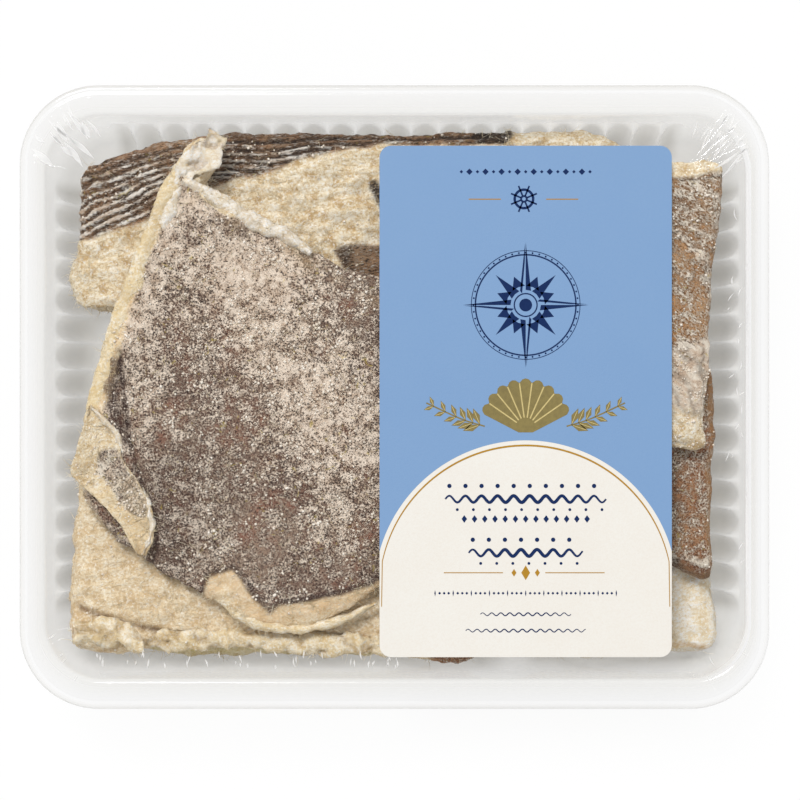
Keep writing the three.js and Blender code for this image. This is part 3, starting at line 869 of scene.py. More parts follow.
def crumple(piece, how):
    """Moves a flank's points, then paints its fields: broad waves, fibres of flesh, a crust on the
    skin, a ragged edge, its own lift and a few corners pulled sideways."""
    mesh = piece.data
    points, normals = points_of(mesh), normals_of(mesh)
    inset = plan_distance(points[np.abs(normals[:, 2]) < STEEP], points)
    fields = {}
    for name in ("flesh", "amber", "dark", "salt"):
        field = how.get(name, 0.0)
        fields[name] = field(points, inset) if callable(field) else np.full(len(points), float(field))
    top = smoothstep(-0.2, 0.5, normals[:, 2])
    waves = 0.8 * how["swell"] * rough(points, 34.0, 2, 1) * top * smoothstep(0, 12, inset)
    fibre = rough(points * (0.35, 1.0, 1.0), 2.8, 2, 3) * 0.55 + rough(points, 5.0, 2, 9) * 0.5
    crust = rough(points, 3.4, 2, 5) * 0.3 + np.maximum(rough(points, 8.0, 3, 7), 0.0) * 0.6
    height = waves + np.where(fields["flesh"] > 0.5, how.get("relief", 1.0) * fibre, crust)
    frill = rough(points, 9.0, 2, 11) * 0.5 + rough(points, 2.2, 2, 13) * 0.55
    frill = frill * how.get("ragged", 0.9) * smoothstep(3.0, 0.0, inset)
    if "lift" in how:
        height = height + how["lift"](points, inset) * top
    moved = points + normals * height[:, None]
    for (x, y), (dx, dy), reach in how.get("pulls", ()):
        share = np.exp(-(((points[:, 0] - x) ** 2 + (points[:, 1] - y) ** 2) / reach**2))
        moved += share[:, None] * np.array([dx, dy, 0.0])
    moved = moved + normals * (1, 1, 0) * frill[:, None]
    moved[:, 2] = soft_ceiling(moved[:, 2])
    move_points(mesh, moved)
    paint(mesh, **fields)


# Outlines and lines on the flanks, in plan, from the tray's middle.
MAIN_SKIN = (
    (-74.2, 78.5), (-68.8, 72.0), (-61.2, 67.0), (-52.0, 60.8), (-41.5, 56.6), (-34.5, 51.8),
    (-25.5, 49.0), (-17.0, 46.0), (-4.3, 43.0), (6, 38), (20, 25), (30, 12), (32, -2), (30, -26),
    (17, -46), (1, -58), (-7.7, -64.6), (-18.7, -67.7), (-32.5, -70.3), (-39.3, -71.2), (-42.8, -74.2),
    (-47.7, -69.6), (-50.5, -66.0), (-52.5, -62.4), (-55.4, -58.9), (-59.5, -60.3), (-64.0, -62.0),
    (-66.4, -70.0), (-76.0, -67.0), (-88.0, -62.0), (-97, -46), (-106, -34), (-103, -14), (-97.8, 2),
    (-94.8, 12), (-92.4, 24.0), (-88.8, 36.0), (-86.2, 43.8), (-82.2, 52.7), (-77.4, 60.5), (-75.0, 66.0),
    (-73.8, 71.5),
)
UPPER_RIM = ((-73.4, 74.6), (-67.9, 72.2), (-62.4, 69.1), (-57.5, 65.6), (-53.5, 62.9), (-48.9, 60.5),
             (-43.8, 58.4), (-38.2, 55.8), (-32.5, 52.2), (-25.0, 47.0), (-17.0, 42.0), (-4, 39.5))
LOWER_RIM = ((-84, -57.5), (-75.1, -60.5), (-66.8, -65), (-59.3, -70), (-53.1, -75), (-45.5, -78.5),
             (-32.5, -80.0), (-18.7, -77.0), (-5.7, -71))
LEFT_EDGE = ((-70.5, 83.0), (-74.0, 78.5), (-77.0, 72.9), (-80.5, 64.3), (-85.4, 50.5), (-89.6, 38.5),
             (-93.9, 27.3), (-96.4, 19.0), (-99.7, 7.5), (-102.2, -1.7), (-104.2, -9.6))
INNER_STRIP = ((-73.9, 76.4), (-75.2, 70.3), (-77.4, 63.8), (-80.4, 57.6), (-83.4, 51.5))
FLAP_FOLDS = (((-104.2, -3.8), (-99.2, -8.6), (-94.8, -13.6), (-93.2, -19.0)),
              ((-86.4, -31.0), (-84.0, -38.5), (-83.4, -46.0), (-86.0, -54.0)))
CRACK = ((-94.3, 15.5), (-93.6, 5.8), (-92.3, -4.8), (-90.5, -15.8), (-86.8, -29.2), (-82.6, -39.5),
         (-81.6, -49.1), (-83.3, -56.7))
GREY_EDGE = ((-97.1, 12.0), (-97.4, 2.0), (-95.6, -7.2), (-92.0, -15))
DARK_STRIP = ((-110.5, -31.3), (-104.0, -39.5), (-97.1, -47.1), (-89.9, -55.0))
FLAP_LEFT = ((-104.9, -3.1), (-107.2, -11.7), (-109.9, -20.3), (-111.2, -25.5), (-108.4, -29.2),
             (-99.8, -36.9), (-92.9, -45.0), (-88.0, -54.4))
FLAP_RIGHT = ((-104.0, -2.7), (-98.4, -8.2), (-93.9, -14.1), (-93.0, -20.6), (-88.2, -28.9), (-83.4, -38.5),
              (-82.6, -46.4), (-85.4, -54.6))
FLAP_INSIDE = ((-101.8, -19.0), (-95.2, -17.0), (-93.4, -20.9), (-90.0, -26.5), (-86.5, -32.1),
               (-84.0, -39.1), (-85.3, -42.6), (-90.3, -40.5), (-95.2, -36.4), (-97.9, -30.7),
               (-102.1, -26.5))
BACK_EDGE = ((-113, 73.0), (-109.4, 75.3), (-101.2, 80.1), (-90.9, 84.5), (-73.7, 88.0), (-58.2, 90.4),
             (-32.5, 91.6), (-5.0, 91.6), (43.1, 91.0), (79.9, 90.3))
BACK_SKIN = (
    (-116, 53.0), (-110.1, 54.0), (-104.6, 55.3), (-99.1, 57.4), (-85.4, 61.9), (-73.7, 67.7), (-65.5, 72.5),
    (-58.2, 74.6), (-44.8, 78.0), (-32.8, 82.5), (-22.2, 85.2), (-5.0, 87.6), (39.0, 86.6), (39.5, 97),
    (-116, 97),
)
BACK_GREY = ((-21, 51), (-15, 53), (0, 52.5), (0, 38), (-14, 38))
SEAM = ((-109.5, -73.2), (-102.6, -75.7), (-88.3, -79.8), (-80.0, -81.9), (-72.0, -84.0))


# Fields over a flank's points p. Inset is their distance in from the flank's side.


def outside(p, outline, wobble=1.3, size=6.0):
    """1 outside an outline with a wavering edge, and 0 inside it."""
    return smoothstep(0.8, -0.8, inside_by(p, outline) + wobble * rough(p, size, 3, 21))


def near(p, line, width, soft):
    """1 within a width of a line, and 0 away from it."""
    away, _ = along_line(p, line)
    return smoothstep(width / 2 + soft, width / 2 - soft, away + 0.6 * rough(p, 3.0, 2, 31))


def in_front_of(p, y, soft=0.7, wobble=1.0):
    """1 in front of a line across the tray, and 0 behind it."""
    return smoothstep(y + soft, y - soft, p[:, 1] + wobble * rough(p, 5.0, 3, 41))


def slanted(p):
    """Points in axes turned to run down to the right, squashed along that way."""
    x, y = 0.85 * p[:, 0] - 0.53 * p[:, 1], 0.53 * p[:, 0] + 0.85 * p[:, 1]
    return np.column_stack([x * 0.3, y, p[:, 2]])


def main_amber(p, inset):
    skin = inside_by(p, MAIN_SKIN)
    below = smoothstep(-52, -58, p[:, 1]) * smoothstep(-9.0, -3.0, skin) * smoothstep(1.0, -0.5, skin)
    left = smoothstep(-84, -88, p[:, 0]) * smoothstep(2.0, -1.0, skin) * 0.5
    warm = near(p, ((-68, 68), (-52, 58), (-36, 50), (-18, 37), (-5, 34)), 4, 3)
    warm = warm * smoothstep(-0.6, 0.6, noise(p, 6, 3)) * 0.75
    return np.clip(below * 0.75 + left + warm, 0, 1)


def main_dark(p, inset):
    # Dark skin strips and border; the dark along the crack is painted shadow where the curled edge overhangs
    # the skin.
    strips = near(p, GREY_EDGE, 4.0, 1.2) * 0.8 + near(p, DARK_STRIP, 5.0, 1.0) * 0.4
    border = smoothstep(1.7, 0.3, np.abs(inside_by(p, MAIN_SKIN) - 0.6)) * smoothstep(-50, -58, p[:, 1])
    # A band just below the upper rim, darker in patches.
    dark_band_under_rim = near(p, ((-71, 69), (-62, 63.5), (-52, 57)), 5.0, 2.0) * smoothstep(0.0, 0.6, noise(p, 5.0, 12))
    pool = smoothstep(26, 6, np.hypot(p[:, 0] + 72, (p[:, 1] + 34) * 0.8))
    return np.clip(near(p, CRACK, 1.3, 0.7) + strips + 0.85 * border + 0.3 * pool + 0.5 * dark_band_under_rim, 0, 1)


def main_salt(p, inset):
    ridge = near(p, ((-48, 36), (-40, 10), (-26, -8)), 34, 16)
    edges = 0.25 * near(p, DARK_STRIP, 6.0, 1.5) + 0.22 * near(p, LEFT_EDGE[:7], 17.0, 6.0)
    bare = 0.06 * smoothstep(-62, -82, p[:, 0]) * smoothstep(28, 4, p[:, 1])
    bare = bare + 0.13 * smoothstep(-6, -60, p[:, 1])
    return 0.39 + edges + 0.17 * noise(p, 22, 4) + 0.22 * ridge - bare


def main_lift(p, inset):
    away, _ = along_line(p, UPPER_RIM)
    below, _ = along_line(p, LOWER_RIM)
    crack, _ = along_line(p, CRACK)
    flap = inside_by(p, FLAP_LEFT + FLAP_RIGHT[::-1])
    rise = 1.2 * np.exp(-((away / 2.6) ** 2)) + 0.9 * np.exp(-((below / 3.5) ** 2))
    return rise - 1.6 * np.exp(-((crack / 1.4) ** 2)) - 2.6 * smoothstep(-1.0, 2.0, flap)


def back_ridges(p, inset):
    """Ridges of skin that run along the back edge, as heights."""
    away, along = along_line(p, BACK_EDGE)
    pitch = 2.35 + 0.25 * np.sin(along * 21.0)
    sway = 1.7 * noise(p * (0.2, 1, 1), 5.0, 6) + 1.0 * noise(p * (0.5, 1, 1), 2.6, 16)
    ridge = np.sin(2 * math.pi * away / pitch + sway) + 0.45 * noise(p * (0.6, 1, 1), 2.0, 18)
    return 0.6 * ridge * smoothstep(-0.5, 1.5, inside_by(p, BACK_SKIN))


def back_dark(p, inset):
    # The grooves between the ridges: dark skin, deepened as painted shade where the ridges are low.
    groove = smoothstep(0.25, -0.35, back_ridges(p, inset))
    middle = 0.7 * smoothstep(-66, -54, p[:, 0])
    black = near(p, ((-7, 73.8), (-4.5, 67)), 3.6, 0.8) + near(p, ((30, 91), (38, 90)), 6, 1)
    grey = smoothstep(-1, 1, inside_by(p, BACK_GREY)) * (0.45 + 0.4 * smoothstep(-12, -18, p[:, 0]))
    stripes = (0.7 * groove + 0.3 * middle + 0.05) * smoothstep(0, 1, inside_by(p, BACK_SKIN))
    return np.clip(stripes + black + grey, 0, 1)


def back_salt(p, inset):
    away, _ = along_line(p, BACK_EDGE)
    crest = smoothstep(-0.1, 0.45, back_ridges(p, inset))
    patchy = smoothstep(-0.45, 0.45, noise(p * (0.4, 1, 1), 4.0, 9) + 0.6 * noise(p * (0.7, 1, 1), 1.7, 19))
    left = smoothstep(-66, -84, p[:, 0])
    return 0.06 + (0.62 + 0.4 * left) * crest * smoothstep(1.0, 6.0, away) * (0.35 + 0.65 * patchy)


def back_flesh(p, inset):
    flesh = outside(p, BACK_SKIN, 0.9, 5.0)
    return flesh * smoothstep(0.8, -0.8, inside_by(p, BACK_GREY))


def right_top_flesh(p, inset):
    fuzzy = smoothstep(75.8, 77.2, p[:, 1] + 0.8 * rough(p, 4, 2, 51))
    return np.maximum(fuzzy, in_front_of(p, -5.5, 3.5, 2.0))


def right_top_salt(p, inset):
    streaks = smoothstep(0.1, 0.6, noise(slanted(p), 2.6, 24)) * smoothstep(28, 40, p[:, 1])
    front = smoothstep(22, 14, p[:, 1] + 3 * noise(p, 9, 8))
    return 0.27 + 0.75 * front + 0.12 * noise(p, 12, 2) + 0.35 * streaks


def right_top_dark(p, inset):
    # Painted shade in the creases of the wrinkles, which the lift lowers.
    wrinkles = smoothstep(0.35, 0.0, np.abs(noise(slanted(p), 2.4, 14)))
    lower = smoothstep(22, 14, p[:, 1]) * smoothstep(-9, -4, p[:, 1])
    upper = smoothstep(30, 45, p[:, 1]) * smoothstep(76, 72, p[:, 1])
    # A painted shadow line under the cream edge.
    line = near(p, ((80, 75.6), (112, 75.2)), 0.8, 0.6)
    return np.clip(0.5 * wrinkles * lower + 0.3 * wrinkles * upper + 0.6 * line, 0, 1)


def right_top_lift(p, inset):
    wrinkles = smoothstep(0.0, 0.5, np.abs(noise(slanted(p), 2.4, 14)))
    return 0.7 * wrinkles * np.maximum(smoothstep(24, 14, p[:, 1]), 0.5 * smoothstep(30, 45, p[:, 1]))


def right_low_amber(p, inset):
    return smoothstep(2.4, 0.6, inset + 0.9 * noise(p, 5, 3)) * smoothstep(96, 104, p[:, 0]) * 0.75


def right_low_dark(p, inset):
    # A painted shade line along a wrinkle across the skin.
    wrinkle = near(p, ((40, -56.8), (88, -56.8), (112, -57.2)), 3.6, 0.7)
    spot = smoothstep(5, 2, np.hypot(p[:, 0] - 105, p[:, 1] - 4)) * 0.7
    shade = 0.25 * smoothstep(104, 94, p[:, 0]) * smoothstep(-0.5, 0.4, noise(p, 9.0, 27))
    wrinkle = wrinkle * (0.75 + 0.5 * noise(p, 2.5, 29))
    return np.clip(0.04 + 0.52 * wrinkle + spot + shade, 0, 1)


def right_low_salt(p, inset):
    line = near(p, ((40, -54), (88, -54), (112, -54.2)), 1.5, 0.8)
    return 0.27 + 0.42 * line * (0.7 + 0.8 * noise(p, 3, 5)) + 0.1 * noise(p, 8, 2)


def low_dark(p, inset):
    # Painted shadow in the crevice along the seam, which the lift presses down.
    return 0.75 * near(p, SEAM, 1.4, 0.8)


def low_flesh(p, inset):
    return 1 - smoothstep(11, 14, p[:, 0]) * smoothstep(-87.5, -89.5, p[:, 1])


def low_lift(p, inset):
    seam, _ = along_line(p, SEAM)
    return -2.6 * np.exp(-((seam / 1.4) ** 2))


SKIN_MAIN = ("7a6153", "957564", "b39580", "b8785e", "32251f")
SKIN_BACK = ("8f6d53", "bd9571", "d6ae86", "cf9463", "2a1f18")
SKIN_TOP = ("c89468", "e0ac7a", "eec092", "e8a868", "74502e")
SKIN_LOW = ("aa744c", "cb9164", "deaf80", "cc7c4c", "573722")
FLESH_PALE = ("d2b486", "efdbb5", "f8ebd0", "fffbf0")
FLESH_TAN = ("d0b389", "ebd4ad", "f5e6c9", "fdf6e8")
FLESH_CREAM = ("c8a878", "f0dfbc", "fcf2dc", "fffdf7")
FLESH_WHITE = ("e6d0a8", "faeed6", "fffaf0", "ffffff")

# Each flank has its mesh's cell size, its colours, its slot and its fields. Swell is its share of
# the broad waves, relief of the fibres' depth and ragged of the frill at its edge. Pulls are places,
# each with the shift and the reach of a pull sideways. The first flanks show from above.
SHOWN_FLANKS = 7
PIECES = {
    "flank_main": dict(
        cell=0.78, skin=SKIN_MAIN, tones=FLESH_PALE, amber_tone="e8c598", dark_tone="47302a",
        salt_tone="fbe9d5", slot="cod_skin", swell=1.0,
        flesh=lambda p, inset: outside(p, MAIN_SKIN), amber=main_amber, dark=main_dark, salt=main_salt,
        lift=main_lift,
        pulls=(((-53, 71), (-7.0, -3.5), 7.5), ((-59, 88), (-1.0, -3.0), 5.0),
               ((-57.5, 75.5), (-6.0, 0.0), 6.5), ((-81.5, 64.4), (-2.0, 0.6), 8.0),
               ((-99.6, -42), (-1.1, -1.2), 10.0))),
    "flank_back": dict(
        cell=0.8, skin=SKIN_BACK, tones=FLESH_CREAM, dark_tone="33271f", salt_tone="fdf6ec",
        slot="cod_flesh", swell=0.8, relief=1.5, lie=(8.0, 0.35),
        flesh=back_flesh, dark=back_dark, salt=back_salt, lift=back_ridges,
        pulls=(((-108, 73), (0.4, 3.6), 7.0), ((-111, 58), (1.6, 0.0), 9.0),
               ((-108, 34), (-2.8, -1.5), 7.0), ((-41, 92), (0.0, -0.9), 9.0),
               ((30, 91), (0.0, 0.8), 14.0), ((60, 91), (0.0, 0.8), 14.0))),
    "flank_right_top": dict(
        cell=0.85, skin=SKIN_TOP, tones=FLESH_CREAM, slot="cod_skin", swell=0.6, ragged=0.5,
        lie=(-32.0, 0.6),
        flesh=right_top_flesh, dark=right_top_dark, salt=right_top_salt, lift=right_top_lift,
        pulls=(((112, 80), (2.0, 1.8), 6.0), ((99, 84), (0.0, -1.8), 9.0),
               ((92, -19), (0.0, 2.2), 8.0), ((103.5, -16), (3.4, -2.4), 5.5))),
    "flank_right_low": dict(
        cell=0.95, skin=SKIN_LOW, tones=FLESH_CREAM, amber_tone="c08a4c", slot="cod_skin", swell=0.6,
        ragged=0.5, amber=right_low_amber, dark=right_low_dark, salt=right_low_salt,
        pulls=(((111.5, -28), (-1.0, 0.0), 10.0), ((111.5, -46), (-1.8, 0.0), 9.0),
               ((107, -57), (2.0, -4.4), 6.0))),
    "flank_left_low": dict(
        cell=0.8, skin=SKIN_LOW, tones=FLESH_TAN, dark_tone="6b4a30", slot="cod_flesh", swell=0.7,
        ragged=0.8, flesh=low_flesh, dark=low_dark, salt=0.2, lift=low_lift,
        pulls=(((-109, -28), (-2.5, 1.0), 8.0), ((-110, -84), (-2.0, -2.0), 7.0),
               ((-110, -45), (-2.2, 0.0), 9.0), ((-112, -62), (-1.6, 0.0), 9.0))),
    "flank_mid_right": dict(
        cell=1.1, skin=SKIN_LOW, tones=FLESH_WHITE, slot="cod_flesh", swell=0.6, flesh=1.0,
        amber=lambda p, inset: 0.7 * near(p, ((40, -88), (90, -88), (107, -86)), 2.2, 1.0),
        pulls=(((109, -83), (2.4, -2.4), 7.0), ((92, -93), (0.0, 1.4), 8.0))),
    "flank_mid_left": dict(
        cell=1.2, skin=SKIN_LOW, tones=FLESH_CREAM, amber_tone="d9c983", slot="cod_flesh", swell=0.6,
        flesh=1.0, amber=lambda p, inset: 0.8 * near(p, ((-100, -88), (0, -90)), 4, 2)),
    "flank_mid_back": dict(
        cell=1.4, skin=SKIN_BACK, tones=FLESH_TAN, slot="cod_flesh", swell=0.6, flesh=1.0),
    "flank_floor_left": dict(
        cell=1.5, skin=SKIN_LOW, tones=FLESH_TAN, slot="cod_flesh", swell=0.4, flesh=1.0),
    "flank_floor_right": dict(
        cell=1.5, skin=SKIN_TOP, tones=FLESH_TAN, slot="cod_skin", swell=0.4, salt=0.3,
        flesh=lambda p, inset: in_front_of(p, -30.0)),
}


def build_flanks():
    """Every flank of fish, by the name of the node it replaces."""
    built = {}
    for node, how in PIECES.items():
        piece = grown(node, how["cell"] * (1.0))
        crumple(piece, how)
        looks = {key: how[key] for key in ("amber_tone", "dark_tone", "salt_tone", "lie") if key in how}
        material = fish_material(node.replace("flank", "dried"), how["skin"], how["tones"], **looks)
        built[node] = dress(piece, material, how["slot"], node)
    return built


def loft(name, left, right, rise, base, thick):
    """A thin closed strip between two lines, with the share of the way along and across it at each
    point. rise(t, s) is its height above base(s) at t across and s along."""
    count = int(max(np.linalg.norm(np.diff(np.array(left), axis=0), axis=1).sum() / STRIP_CELL, 12))
    a, b = curve_through(left, count), curve_through(right, count)
    wide = int(max(np.linalg.norm(a - b, axis=1).max() / STRIP_CELL, 6))
    t, s = np.linspace(0, 1, wide), np.linspace(0, 1, count)
    plan = a[:, None, :] * (1 - t)[None, :, None] + b[:, None, :] * t[None, :, None]
    tops = base(s)[:, None] + rise(t[None, :], s[:, None])
    top = np.dstack([plan, tops]).reshape(-1, 3)
    pinch = thick * (0.25 + 0.75 * np.sin(np.pi * t) ** 0.5)[None, :] * np.ones((count, 1))
    low = np.dstack([plan, tops - pinch]).reshape(-1, 3)
    faces = grid_faces(count, wide)
    under = faces[:, ::-1] + len(top)
    spots = np.arange(count * wide).reshape(count, wide)
    border = np.concatenate([spots[0], spots[1:, -1], spots[-1, -2::-1], spots[-2:0:-1, 0]])
    after = np.roll(border, -1)
    sides = np.stack([after, border, border + len(top), after + len(top)], axis=1)
    piece = new_piece(name, np.vstack([top, low]), np.vstack([faces, under, sides]))
    close_up(piece.data)
    return piece, np.tile(np.repeat(s, wide), 2), np.tile(t, 2 * count)


def band(line, widths):
    """The two sides of a line with the given widths at its points."""
    line = curve_through(line, 24)
    widths = np.interp(np.linspace(0, 1, 24), np.linspace(0, 1, len(widths)), widths)
    side = normals_along(line) * widths[:, None] / 2
    return line + side, line - side


def strip(name, sides, rise, base, thick, lumps, material, **fields):
    """A painted strip of flesh between two lines, with lumps of a size and depth from a seed, and painted
    shade in the hollows between the lumps.
    """
    piece, s, t = loft(name, *sides, rise, base, thick)
    points, normals = points_of(piece.data), normals_of(piece.data)
    none = np.zeros(len(points))
    values = {"flesh": none + 1, "amber": none, "salt": none, "dark": none}
    for key, field in fields.items():
        values[key] = field(points, s, t)
    size, depth, seed = lumps
    bumps = rough(points, size, 3, seed)
    height = depth * bumps + 0.3 * depth * rough(points, size / 4, 2, seed + 3)
    drift = [rough(points, size * 1.3, 2, seed + 5), rough(points, size * 1.3, 2, seed + 7), none]
    points = points + normals * height[:, None] + depth * 0.8 * np.column_stack(drift)
    points[:, 2] = soft_ceiling(points[:, 2])
    move_points(piece.data, points)
    # Painted shade in the lumps' hollows.
    crevice_shade = 0.5 * min(depth, 1.4) / 1.4 * smoothstep(0.0, -0.6, bumps)
    values["dark"] = np.maximum(values["dark"], crevice_shade)
    paint(piece.data, **values)
    return dress(piece, material, "cod_flesh")


def roll(t, s):
    """The height of a rolled edge across it."""
    return 1.5 * np.sin(np.pi * np.clip(t, 0, 1)) ** 0.8


def fat_roll(height):
    """The height across a fuller rolled edge."""
    return lambda t, s: height * np.sin(np.pi * t) ** 0.7


def stained(amount, low, high, size, seed):
    """A field of soft stains for a strip."""
    return lambda p, s, t: amount * smoothstep(low, high, noise(p, size, seed))


def build_edges():
    """The curled edges and folded corners of the flanks."""
    pale = fish_material("curled_edge", SKIN_MAIN, ("dfc595", "f4e1ba", "fdf1d9", "fffdf6"),
                         "efd49c", "94703f")
    white = fish_material("salted_rim", SKIN_MAIN, ("e6d3b4", "faf0de", "fffaf1", "ffffff"),
                          "f1dcb0", "9a7a58")
    grey = fish_material("folded_flap", ("8d7d73", "aa9a8d", "c6b7a8", "bd9386", "5a4d46"),
                         FLESH_PALE, "ebcf9e")
    made = [
        strip("curled_left", band(LEFT_EDGE, (3.5, 4.5, 5.5, 5.6, 6.2, 6.2, 6.2, 6.6, 6.4, 5.6)), roll,
              lambda s: 38.6 + 1.0 * np.sin(3 * s) - 1.2 * s, 3.0, (5.0, 0.55, 61), pale,
              amber=stained(0.55, -0.6, 0.5, 6, 7)),
        strip("curled_inner", band(INNER_STRIP, (1.6, 4.2, 6.0, 4.4, 1.8)), roll,
              lambda s: 39.2 - 0.9 * s, 2.0, (3.0, 0.6, 65), white),
    ]
    for side, fold in zip(("top", "end"), FLAP_FOLDS):
        made.append(strip("flap_fold_" + side, band(fold, (0.8, 1.8, 2.0, 0.9)), roll,
                          lambda s: 39.6 + 0.3 * np.sin(np.pi * s), 1.6, (2.4, 0.5, 107), white))
    return made + [
        strip("apex_flap",
              band(((-75.5, 71.5), (-70.5, 78.5), (-64.5, 84.0), (-60.8, 90.5)), (3.5, 8.0, 11.5, 5.0)),
              lambda t, s: 0.7 * np.sin(2 * np.pi * t + 3 * s), lambda s: 39.6 + 0.8 * np.sin(5 * s),
              1.6, (3.2, 1.3, 71), white,
              amber=stained(0.6, 0.0, 0.6, 4, 9), dark=stained(0.35, 0.25, 0.8, 3, 19)),
        strip("corner_flap", (FLAP_LEFT, FLAP_RIGHT),
              lambda t, s: 1.3 * np.abs(2 * t - 1) ** 2.2 + 0.35 * np.sin(9 * s + 3 * t),
              lambda s: 38.9 + 0.6 * np.sin(np.pi * s), 1.7, (5.0, 0.5, 81), grey,
              flesh=lambda p, s, t: 1 - smoothstep(
                  -0.5, 0.8, inside_by(p, FLAP_INSIDE) + 0.7 * rough(p, 4, 2, 5)),
              salt=lambda p, s, t: np.full(len(s), 0.5),
              amber=lambda p, s, t: stained(0.5, -1, 0.5, 5, 4)(p, s, t) * smoothstep(0.3, 0.8, s)),
        strip("rolled_corner",
              band(((-110.0, -81.0), (-104.0, -81.0), (-97.0, -82.6), (-91.0, -84.8), (-86.5, -86.5)),
                   (6.0, 10.0, 10.5, 8.0, 4.0)),
              fat_roll(3.0), lambda s: 31.0 - 0.8 * s, 5.0, (5.0, 1.6, 91), pale,
              amber=stained(0.3, 0.0, 0.7, 5, 6)),
        strip("front_fringe",
              band(((-86, -84.5), (-72, -84.0), (-55, -84.0), (-38, -85.0), (-20, -85.5), (-2, -86)),
                   (5.0, 7.5, 6.0, 8.0, 7.0, 6.0)),
              fat_roll(1.8), lambda s: 29.6 + 0.8 * np.sin(11 * s), 4.0, (4.2, 1.4, 95), pale),
        strip("upper_rim",
              band((*UPPER_RIM[:9], (-29.0, 49.4)), (2.2, 4.2, 5.6, 5.9, 5.6, 5.4, 4.6, 1.6)), roll,
              lambda s: 40.0 - 1.7 * s, 2.6, (2.6, 0.6, 103), white),
        strip("lower_lip", band(LOWER_RIM[2:], (1.5, 3.0, 4.0, 3.5, 3.5, 3.0, 2.0)), roll,
              lambda s: 34.5 + 1.3 * np.sin(np.pi * s), 2.2, (4.0, 0.6, 99), pale),
    ]


# ---------------------------------------------------------------- salt and fibres

SALT_COUNT = 16000
FIBRE_COUNT = 13000
GRAIN_CEILING = CEILING + 0.2


def field_of(mesh, name):
    """A field that was painted on a mesh."""
    values = np.empty(len(mesh.vertices), np.float32)
    mesh.attributes[name].data.foreach_get("value", values)
    return values


def spots_on(pieces, weigh, count):
    """Random points on upward surfaces, with their normals, more where weigh() is larger."""
    points, normals, weights = [], [], []
    for piece in pieces:
        mesh = piece.data
        p, n = points_of(mesh), normals_of(mesh)
        points.append(p)
        normals.append(n)
        weights.append(weigh(p, n, field_of(mesh, "flesh"), field_of(mesh, "salt")))
    points, normals, weights = np.concatenate(points), np.concatenate(normals), np.concatenate(weights)
    chosen = RNG.choice(len(points), count, p=weights / weights.sum())
    return points[chosen] + RNG.normal(0, 0.3, (count, 3)) * (1, 1, 0.1), normals[chosen]


def turned(count):
    """Random rotations, one 3 by 3 matrix each."""
    q = RNG.normal(size=(count, 4))
    w, x, y, z = (q / np.linalg.norm(q, axis=1)[:, None]).T
    return np.stack([
        np.stack([1 - 2 * (y * y + z * z), 2 * (x * y - z * w), 2 * (x * z + y * w)], 1),
        np.stack([2 * (x * y + z * w), 1 - 2 * (x * x + z * z), 2 * (y * z - x * w)], 1),
        np.stack([2 * (x * z - y * w), 2 * (y * z + x * w), 1 - 2 * (x * x + y * y)], 1)], 1)


def two_toned(name, size, tones, tooth, depth):
    """A material that drifts between two tones, with a fine tooth."""
    g = Graph(name)
    colour = g.ramp(g.noise(size), (0.35, tones[0]), (0.65, tones[1]))
    return g.matt(colour, 0.6, g.bump(g.noise(tooth), depth))


def scattered(name, corners, faces, smooth, material, slot):
    """One mesh of many small forms, from the corners of each and the faces that they share."""
    count, each, _ = corners.shape
    corners[:, :, 2] = np.minimum(corners[:, :, 2], GRAIN_CEILING)
    every = (np.array(faces)[None] + each * np.arange(count)[:, None, None]).reshape(-1, len(faces[0]))
    dress(new_piece(name, corners.reshape(-1, 3), every, smooth), material, slot)


def build_salt(pieces):
    """Salt crystals: small uneven eight-sided grains."""
    def weigh(p, n, flesh, salt):
        lying = np.maximum(n[:, 2], 0) ** 2 * (0.04 + salt**1.5) * np.where(flesh > 0.5, 0.4, 1.0)
        return lying * smoothstep(-0.7, 0.9, rough(p, 7.0, 3, 33))

    count = SALT_COUNT
    spots, normals = spots_on(pieces, weigh, count)
    grain = np.array([(1, 0, 0), (-1, 0, 0), (0, 1, 0), (0, -1, 0), (0, 0, 1), (0, 0, -1)], float)
    faces = ((0, 2, 4), (2, 1, 4), (1, 3, 4), (3, 0, 4), (2, 0, 5), (1, 2, 5), (3, 1, 5), (0, 3, 5))
    sizes = 0.14 + 0.62 * RNG.random(count) ** 5
    shapes = grain[None] * RNG.uniform(0.6, 1.25, (count, 6, 1)) * sizes[:, None, None]
    corners = np.einsum("nij,nkj->nki", turned(count), shapes) + spots[:, None] + normals[:, None] * 0.1
    material = two_toned("salt_crystal", 3.0, ("d9cbb8", "f5ede1"), 0.3, 0.05)
    scattered("salt_grains", corners, faces, False, material, "cod_skin")


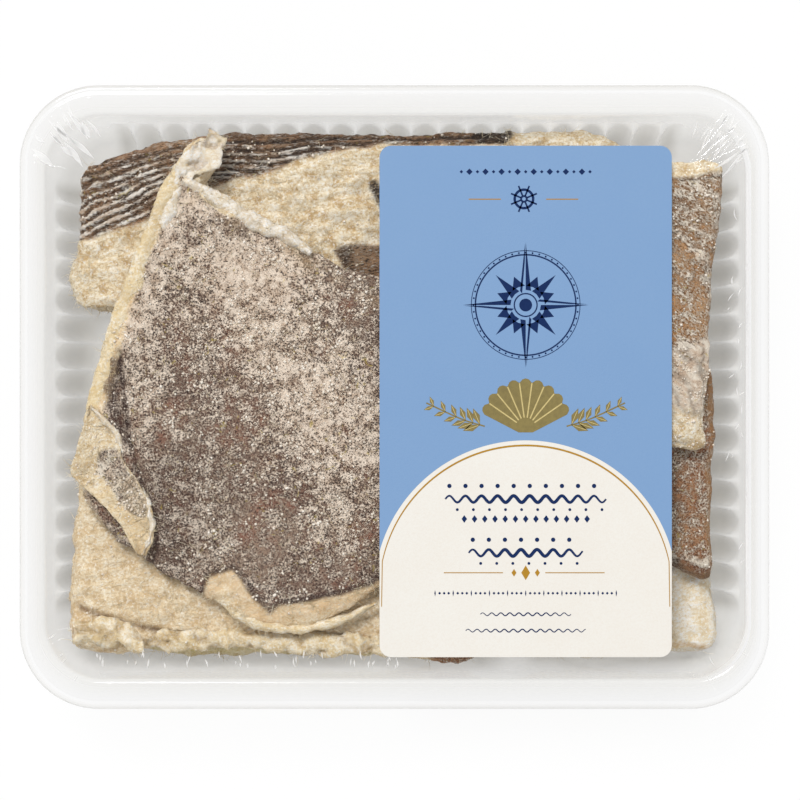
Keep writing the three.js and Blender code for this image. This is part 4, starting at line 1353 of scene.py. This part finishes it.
def build_fibres(pieces):
    """Loose fibres of flesh: short bent strands with a three-sided section."""
    def weigh(p, n, flesh, salt):
        lying = smoothstep(-0.3, 0.4, n[:, 2]) * (0.1 + flesh) * np.where(p[:, 0] > 60, 0.15, 1.0)
        return lying * smoothstep(-0.6, 0.8, rough(p, 9.0, 2, 35))

    count = FIBRE_COUNT
    spots, normals = spots_on(pieces, weigh, count)
    heading = RNG.normal(0, 1, (count, 3)) * (1, 0.7, 0.25) + normals * (0.8, 0.8, 0.25)
    heading /= np.linalg.norm(heading, axis=1)[:, None]
    bend = RNG.normal(0, 0.35, (count, 3)) * (1, 1, 0.3)
    length = 0.9 + 2.8 * RNG.random(count) ** 2
    width = RNG.uniform(0.07, 0.15, count)
    side = np.cross(heading, (0, 0, 1.0))
    side /= np.linalg.norm(side, axis=1)[:, None] + 1e-9
    lift = np.cross(side, heading)
    rows = []
    for step in (0.0, 0.5, 1.0):
        centre = spots + normals * 0.12 + (heading * step + bend * step**2) * length[:, None]
        for a in np.radians((90, 210, 330)):
            spoke = side * math.cos(a) + lift * math.sin(a)
            rows.append(centre + spoke * (width * (1 - 0.7 * step))[:, None])
    faces = [(3 * r + k, 3 * r + (k + 1) % 3, 3 * r + 3 + (k + 1) % 3, 3 * r + 3 + k)
             for r in (0, 1) for k in range(3)]
    material = two_toned("flesh_fibre", 6.0, ("dcc9a2", "f4ead2"), 0.5, 0.03)
    scattered("flesh_fibres", np.stack(rows, axis=1), faces, True, material, "cod_flesh")


# ---------------------------------------------------------------- camera, light and floor
# The camera looks straight down. Its place is in metres, and its frame's width is at the rim.

CAMERA_PLACE = (0.0019, -0.0010, 0.942)
ABOVE_RIM, FRAME_WIDTH, SENSOR = 0.900, 0.274, 36.0
FLOOR_REACH, FLOOR_Z = 3000, -0.2


def sun(name, heading, strength, spread):
    """A distant soft light, from the given direction."""
    data = bpy.data.lights.new(name, "SUN")
    data.energy = strength
    data.angle = math.radians(spread)
    placed(name, data).rotation_euler = Vector(heading).to_track_quat("Z", "Y").to_euler()


def build_studio():
    """The camera, the white floor and the light."""
    scene = bpy.context.scene
    data = bpy.data.cameras.new("camera")
    data.sensor_width = SENSOR
    data.lens = SENSOR * ABOVE_RIM / FRAME_WIDTH
    data.clip_start, data.clip_end = 0.01, 20.0
    scene.camera = placed("camera", data)
    scene.camera.location = CAMERA_PLACE
    scene.view_settings.view_transform = "Standard"

    reach = FLOOR_REACH
    corners = [(-reach, -reach, FLOOR_Z), (reach, -reach, FLOOR_Z), (reach, reach, FLOOR_Z),
               (-reach, reach, FLOOR_Z)]
    floor = new_piece("floor", np.array(corners), [(0, 1, 2, 3)])
    g = Graph("floor_white")
    tone = g.ramp(g.noise(300.0), (0.3, "fdfdfd"), (0.7, "fefefe"))
    matt = g.add("ShaderNodeBsdfDiffuse", {"Color": tone})
    lit = g.add("ShaderNodeEmission", {"Color": tone, "Strength": 1.0})
    floor.data.materials.append(g.finish(g.blend(0.92, matt, lit)))

    world = bpy.data.worlds.new("studio")
    world.use_nodes = True
    background = world.node_tree.nodes["Background"].inputs
    background["Color"].default_value = linear("ffffff")
    background["Strength"].default_value = 0.6
    scene.world = world
    sun("key", (-0.25, 0.62, 1.0), 2.35, 20)


build_studio()
flanks = build_flanks()
edges = build_edges()
build_tray([*flanks.values(), *edges])
build_film()
build_painted_glints()
build_label()
seen = [*list(flanks.values())[:SHOWN_FLANKS], *edges]
build_salt(seen)
build_fibres(seen)
